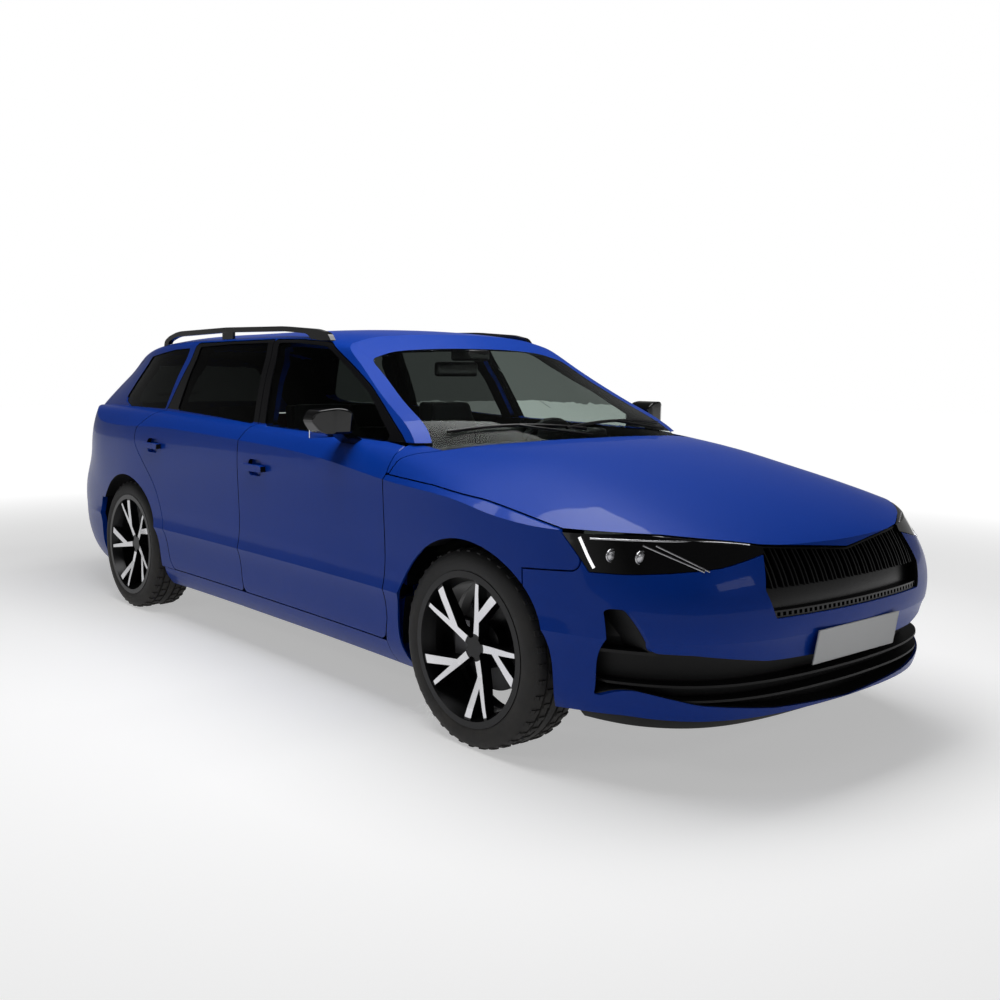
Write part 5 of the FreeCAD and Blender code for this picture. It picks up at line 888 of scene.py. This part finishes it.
def pad(name, low, high, lean, cuts, shape):
    """A stuffed piece: a finely cut block, moved by a shape of its own, leaned back and rounded."""
    piece = soft_block(name, low, high, cuts=cuts)
    low, high = Vector(low), Vector(high)
    size = high - low
    for vertex in piece.data.vertices:
        share = Vector(((vertex.co[i] - low[i]) / size[i] for i in range(3)))
        vertex.co += shape(share)
        vertex.co.x -= lean * (vertex.co.z - low.z)
    round_off = piece.modifiers.new("round", "SUBSURF")
    round_off.levels = round_off.render_levels = 2
    bpy.ops.object.modifier_apply(modifier="round")
    return piece


def dome(share):
    """One in the middle of a pad and nothing at its edge."""
    return max(0.0, 1 - (2 * share - 1) ** 2)


def base_shape(share):
    """A seat base: raised bolsters at the sides and a hollow between them."""
    side = abs(2 * share.y - 1)
    bolster = max(0.0, side - 0.55) / 0.45
    top = share.z
    ahead = 0.012 * dome(share.y) * (share.x - 0.5)
    aside = 0.010 * (share.y - 0.5) * -dome(share.x)
    rise = 0.028 * bolster * top - 0.012 * dome(share.x) * top * (1 - bolster)
    return Vector((ahead, aside, rise))


def back_shape(share):
    """A seat back with bolsters and, above its shoulders, a narrower headrest."""
    side = 2 * share.y - 1
    narrow = 1.0
    if share.z > 0.66:
        narrow = 1 - 0.46 * min(1.0, (share.z - 0.66) / 0.16)
    bolster = max(0.0, abs(side) - 0.5) / 0.5 * (1 if share.z < 0.7 else 0)
    ahead = 0.030 * bolster * share.x - 0.010 * dome(share.y) * share.x
    return Vector((ahead, (narrow - 1) * side * 0.26, 0.0))


def bench_back_shape(share):
    """The rear seat's back: three places beside each other, each crowned."""
    return Vector((0.012 * dome((share.y * 3) % 1) * share.x, 0, 0))


def head_shape(share):
    """A headrest keeps its block, which subdivision alone makes round."""
    return Vector((0, 0, 0))


def upholster(seat, node):
    """Makes a seat a stuffed piece that stands for a CAD seat."""
    finish_piece(seat, seat_cloth, "body", smooth=60)
    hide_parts(node)
    print(seat.name, len(seat.data.polygons))


SEAT_SIDES = (0.121, 0.620)
SEAT_MIDDLE = 0.37
SEAT_LEAN = 0.236
PLINTH_HALF = 0.19
PLINTH_BEVEL = 0.015
HEADREST_HALF = 0.125
HEADREST_FOOT = 0.925
HEADREST_SHIFT = 0.115
HEADREST_LEAN = 0.20
BENCH_HALF = 0.636
BENCH_LEAN = 0.27

for side, label in ((-1, "right"), (1, "left")):
    y_low, y_high = sorted(side * y for y in SEAT_SIDES)
    base = pad("base", (-0.036, y_low, 0.355), (0.396, y_high, 0.462), 0.0, 6, base_shape)
    back = pad("back", (-0.072, y_low, 0.470), (0.040, y_high, 1.080), SEAT_LEAN, 8, back_shape)
    upholster(join_pieces("seat_front_" + label, [base, back]), "front_seats")
    y_low, y_high = side * SEAT_MIDDLE - PLINTH_HALF, side * SEAT_MIDDLE + PLINTH_HALF
    plinth = soft_block(
        "seat_plinth_" + label, (0.0, y_low, 0.232), (0.34, y_high, 0.352), PLINTH_BEVEL
    )
    finish_piece(plinth, trim_soft, "body")

rear_pads = [
    pad("bench", (-0.712, -BENCH_HALF, 0.398), (-0.316, BENCH_HALF, 0.500), 0.0, 8, base_shape),
    pad(
        "bench_back", (-0.745, -BENCH_HALF, 0.500), (-0.632, BENCH_HALF, 0.930), BENCH_LEAN, 8,
        bench_back_shape,
    ),
]
for middle in (-0.402, 0.0, 0.402):
    y_low, y_high = middle - HEADREST_HALF, middle + HEADREST_HALF
    rear_pads.append(
        pad("head", (-0.775, y_low, 0.925), (-0.690, y_high, 1.050), HEADREST_LEAN, 4, head_shape)
    )
rear_seat = join_pieces("seat_rear", rear_pads)
for vertex in rear_seat.data.vertices:
    if vertex.co.z > HEADREST_FOOT:
        vertex.co.x -= HEADREST_SHIFT
upholster(rear_seat, "rear_bench")
rear_plinth = soft_block("seat_rear_plinth", (-0.62, -0.5, 0.222), (-0.36, 0.5, 0.396), PLINTH_BEVEL)
finish_piece(rear_plinth, trim_soft, "body")

# %% [markdown]
# ## Glass fittings
# The inside mirror and its sensor block hang at the top of the windscreen. Two wipers rest on its foot.
# The blades follow the glass, so their points are taken from it.

# %% Fit the mirror, the wipers and the mirror glasses
screen = panel_trees("windscreen")


def screen_point(across, rise, lift):
    """A point on the windscreen, or just off it."""
    return on_skin(screen, (AHEAD_OF_CAR, across, rise), (-1, 0, 0), lift)


screen_x = screen_point(0, 1.30, 0.0).x
mirror_case = soft_block(
    "case", (screen_x - 0.215, -0.12, 1.215), (screen_x - 0.180, 0.12, 1.280), 0.014
)
sensor = soft_block(
    "sensor", (screen_x - 0.17, -0.06, 1.285), (screen_x - 0.035, 0.06, 1.335), 0.012
)
finish_piece(join_pieces("inside_mirror", [mirror_case, sensor]), smooth_black, "body")

BLADE_POINTS = 7
BLADE_LIFT = 0.009
WIPER_BLADE = 0.0065
WIPER_ARM = 0.0055
WIPERS = ((0.60, -0.08, 1.012, 1.05), (0.02, -0.60, 1.008, 1.045))
for index, (foot, tip, low, high) in enumerate(WIPERS):
    blade_points = []
    for step in range(BLADE_POINTS):
        share = step / (BLADE_POINTS - 1)
        across = foot + (tip - foot) * share
        rise = low + (high - low) * share * (1 - share) * 2
        blade_points.append(screen_point(across, rise, BLADE_LIFT))
    blade = rod_along("blade", blade_points, WIPER_BLADE)
    arm_points = [
        screen_point(foot, low - 0.022, 0.008),
        screen_point((foot + tip) / 2, low + 0.004, 0.022),
        blade_points[BLADE_POINTS // 2],
    ]
    arm = rod_along("arm", arm_points, WIPER_ARM)
    finish_piece(join_pieces(f"wiper_{index}", [blade, arm]), smooth_black, "body")

PANE_INSETS = (0.188, 0.024)
for side, label in ((-1, "right"), (1, "left")):
    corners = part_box("mirror_" + label)
    tip = max(abs(corner.y) for corner in corners)
    y_low, y_high = sorted(side * (tip - inset) for inset in PANE_INSETS)
    pane = soft_block(
        "mirror_glass_" + label, (0.664, y_low, 0.985), (0.668, y_high, 1.080), 0.0015
    )
    finish_piece(pane, mirror_glass, body_of["mirror_" + label])
print("glass fittings done")

# %% [markdown]
# ## Inside the cabin
# Through the windscreen one sees a screen, three vents and the instrument hood. They are plain forms set on
# the CAD dashboard, and their height is measured from its top.

# %% Add the dashboard's forms
dash = panel_trees("dashboard")
top = on_skin(dash, (0.80, 0.35, 1.3), (0, 0, -1)).z
hood = soft_block("hood", (0.66, 0.22, top - 0.01), (0.82, 0.52, top + 0.045), 0.02)
tablet = soft_block("tablet", (0.652, -0.14, top - 0.06), (0.668, 0.14, top + 0.055), 0.006)
finish_piece(join_pieces("dash_forms", [hood, tablet]), trim_soft, "body")
vents = [
    soft_block("vent", (0.640, y_low, top - 0.10), (0.662, y_high, top - 0.065), 0.004)
    for y_low, y_high in ((-0.60, -0.42), (0.55, 0.68), (-0.70, -0.64))
]
finish_piece(join_pieces("dash_vents", vents), smooth_black, "body")
print("dashboard's top at", round(top, 3))

# %% [markdown]
# ## Tail
# The rear glass has a short wiper. It swings with the tailgate.

# %% Fit the rear wiper
gate_glass = panel_trees("tailgate_glass")
rear_points = [
    on_skin(gate_glass, (-AHEAD_OF_CAR, across, 1.085 + 0.03 * across), (1, 0, 0), 0.008)
    for across in (0.02, -0.08, -0.18, -0.28)
]
finish_piece(rod_along("rear_wiper", rear_points, 0.006), smooth_black, body_of["tailgate"])
print("rear wiper from", tuple(round(c, 3) for c in rear_points[0]))

# %% [markdown]
# ## Floor
# A wide pale plane under the tyres takes the car's soft shadow. Away from the car it is lifted to white,
# but only for the camera, the gloss and the glass, so that it throws no more light on the car.

# %% Lay the floor
FLOOR_GREY = (0.7, 0.7, 0.7, 1)
LIFT_NEAR = 0.42
WHITE_FROM, WHITE_BEYOND = 3.4, 6.5
bpy.ops.object.select_all(action="DESELECT")
bpy.ops.mesh.primitive_plane_add(size=60, location=(0, 0, 0))
floor = bpy.context.object
floor.name = "studio_floor"
floor_paint, shader, place = finish(
    "floor_paint", FLOOR_GREY[:3], 0.8, Specular_IOR_Level=0.1, Emission_Color=(1, 1, 1, 1)
)
floor_tree = floor_paint.node_tree
spread = floor_tree.nodes.new("ShaderNodeVectorMath")
spread.operation = "LENGTH"
floor_tree.links.new(place, spread.inputs[0])
far_off = remap(floor_tree, spread.outputs["Value"], WHITE_FROM, WHITE_BEYOND, 0.0, 1.0)
seen = seen_rays(floor_tree)
lift = maths(floor_tree, "MULTIPLY", seen, remap(floor_tree, far_off, 0.0, 1.0, LIFT_NEAR, 1.0))
floor_tree.links.new(lift, shader.inputs["Emission Strength"])
floor_tree.links.new(
    mix_colours(floor_tree, maths(floor_tree, "MULTIPLY", far_off, seen), FLOOR_GREY, (0, 0, 0, 1)),
    shader.inputs["Base Color"],
)
floor.data.materials.append(floor_paint)
print("floor white beyond", WHITE_BEYOND, "m")
